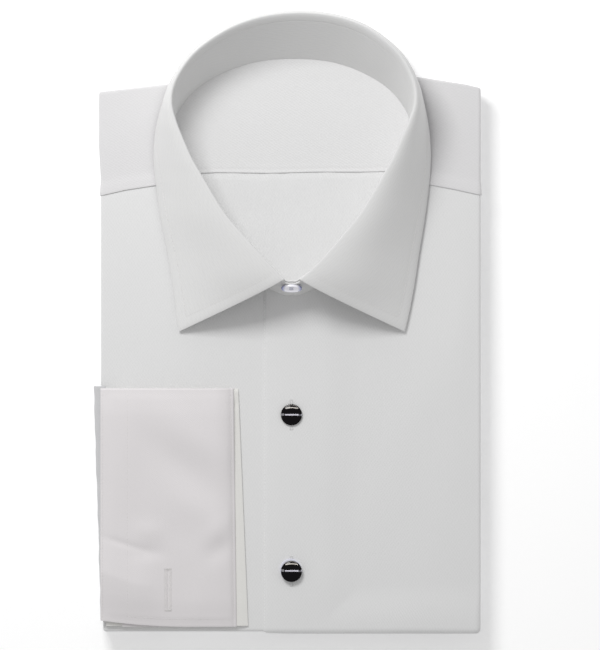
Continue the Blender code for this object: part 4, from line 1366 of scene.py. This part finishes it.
def pearl_finish(name, middle, rim, inner, outer):
    """Pale shell that turns blue-lilac towards its left and right ends."""
    finish = Finish(name, 0.22, 0.5)
    place = finish.node("ShaderNodeUVMap", {}, uv_map="cloth")
    sideways = finish.node("ShaderNodeVectorMath", {0: place, 1: (1.0, 0.3, 0.0)},
                           operation='MULTIPLY')
    from_centre = finish.node("ShaderNodeVectorMath", {0: sideways}, output=1,
                              operation='LENGTH')
    share = finish.node("ShaderNodeMapRange", {"Value": from_centre, "From Min": inner * MM,
                                               "From Max": outer * MM, "To Min": -1.0,
                                               "To Max": 1.0})
    mottle = finish.maths('MULTIPLY', finish.noise(place, 1.2), 0.15)
    finish.colour(finish.maths('ADD', share, mottle), middle, rim)
    finish.surface.inputs["Coat Weight"].default_value = 0.5
    return finish.material


def shell_finish(name, colour):
    finish = Finish(name, 0.3, 0.5)
    place = finish.node("ShaderNodeTexCoord", {}, output=3)
    finish.colour(finish.noise(place, 2.0), shade(colour, 0.94), shade(colour, 1.05))
    return finish.material


for stud in studs:
    stud.data.materials.append(stud_finish())
button.data.materials.append(pearl_finish("pearl_button", (0.93, 0.92, 0.95),
                                          (0.15, 0.18, 0.45), 3.5, 5.8))
# Dark thread: painted shade where the holes of the button lie.
button.data.materials.append(thread_finish("button_holes_painted_shade_thread", (0.20, 0.21, 0.28)))
for slot in bpy.data.objects["stud_disc"].material_slots:
    slot.link = 'OBJECT'
    slot.material = shell_finish("pale_disc", (0.80, 0.80, 0.90))
print("finishes with the hard pieces:", len(bpy.data.materials))

# %% [markdown]
# ## Light
# One broad window of light stands beyond the collar and a little to the left,
# about 45 degrees up. It is wide from left to right and low, so a shadow has a
# soft end. The room gives the rest, and the table glows a little, as a lit
# white sweep does. Polished black shows nothing but what it mirrors, so four
# strip lamps hang round the studs and light only them. One small lamp in front
# lights the collar button alone, because the collar keeps the window from it.

# %% Table
TABLE_GLOW = 0.22
floor_mesh = bpy.data.meshes.new("table_top")
bm = bmesh.new()
bmesh.ops.create_grid(bm, x_segments=1, y_segments=1, size=4.0)
bm.to_mesh(floor_mesh)
bm.free()
floor = bpy.data.objects.new("table_top", floor_mesh)
bpy.context.scene.collection.objects.link(floor)
table_finish = bpy.data.materials.new("white_table")
table_finish.use_nodes = True
table_surface = table_finish.node_tree.nodes["Principled BSDF"]
for socket, value in (("Base Color", (0.97, 0.97, 0.97, 1)), ("Roughness", 0.9),
                      ("Specular IOR Level", 0.0), ("Emission Color", (1, 1, 1, 1)),
                      ("Emission Strength", TABLE_GLOW)):
    table_surface.inputs[socket].default_value = value
floor.data.materials.append(table_finish)
print("table:", floor.name)


# %% Lamps
def area_light(name, direction, far, size, energy, aim=(0.0, 0.0, 0.0), tint=(1, 1, 1)):
    """A rectangle of light, far off along a direction, level from left to right."""
    data = bpy.data.lights.new(name, 'AREA')
    data.shape = 'RECTANGLE'
    data.size, data.size_y = size
    data.energy = energy
    data.color = tint
    lamp = bpy.data.objects.new(name, data)
    out = Vector(direction).normalized()
    level = (Vector((1, 0, 0)) - out * out.x).normalized()
    lamp.matrix_world = Matrix.Translation(Vector(aim) + out * far) @ Matrix(
        (level, out.cross(level), out)).transposed().to_4x4()
    bpy.context.scene.collection.objects.link(lamp)
    return lamp


def only_for(lamp, pieces):
    """Let a lamp reach some pieces alone, and never the camera."""
    group = bpy.data.collections.new("lit_by_" + lamp.name)
    for piece in pieces:
        group.objects.link(piece)
    lamp.visible_camera = False
    lamp.light_linking.receiver_collection = group


area_light("window", (-0.42, 0.85, 1.0), 1.15, (0.42, 0.34), 6.6)
BETWEEN_STUDS = (0.0, -0.076, 0.02)
STRIP_FAR = 1.8
for name, direction, size, energy, tint in (
        ("strip_overhead", (0.02, 0.02, 1.0), (2.76, 0.25), 130.0, (0.92, 0.90, 1.0)),
        ("strip_behind", (0.03, 0.84, 1.0), (2.28, 0.185), 72.0, (1.0, 0.94, 0.87)),
        ("strip_left", (-1.05, 0.05, 1.0), (0.30, 0.36), 8.5, (0.95, 0.95, 1.0)),
        ("strip_right", (0.98, -0.02, 1.0), (0.90, 0.24), 9.0, (0.9, 0.9, 1.0))):
    strip = area_light(name, direction, STRIP_FAR, size, energy, BETWEEN_STUDS, tint)
    strip.visible_diffuse = False
    only_for(strip, studs)
only_for(area_light("button_fill", (0.0, -0.6, 0.9), 0.5, (0.2, 0.2), 0.85), [button])
print("lamps:", [lamp.name for lamp in bpy.data.lights])

# %% Room
ROOM_LIGHT = 0.505
world = bpy.data.worlds.new("room")
world.use_nodes = True
world.node_tree.nodes["Background"].inputs["Color"].default_value = (1, 1, 1, 1)
world.node_tree.nodes["Background"].inputs["Strength"].default_value = ROOM_LIGHT
bpy.context.scene.world = world
bpy.context.scene.view_settings.view_transform = 'Standard'
bpy.context.scene.view_settings.look = 'None'
print("room light:", ROOM_LIGHT)

# %% [markdown]
# Every sheet says how large it was cut.

def declare(piece, flat):
    print(piece.name, "was cut", flat[0], "x", flat[1])


declare(front_left, (128, 262))
declare(front_right, (128, 262))
declare(yoke, (234, 88))
declare(back, (198, 255))
declare(inner_yoke, (198, 66))
declare(band, (452, 36))
declare(leaf, (440, 72))
declare(cuff, (142, 134))
declare(cuff_strip, (158, 134))
declare(sleeve, (26, 131))
declare(hidden, (213, 360))
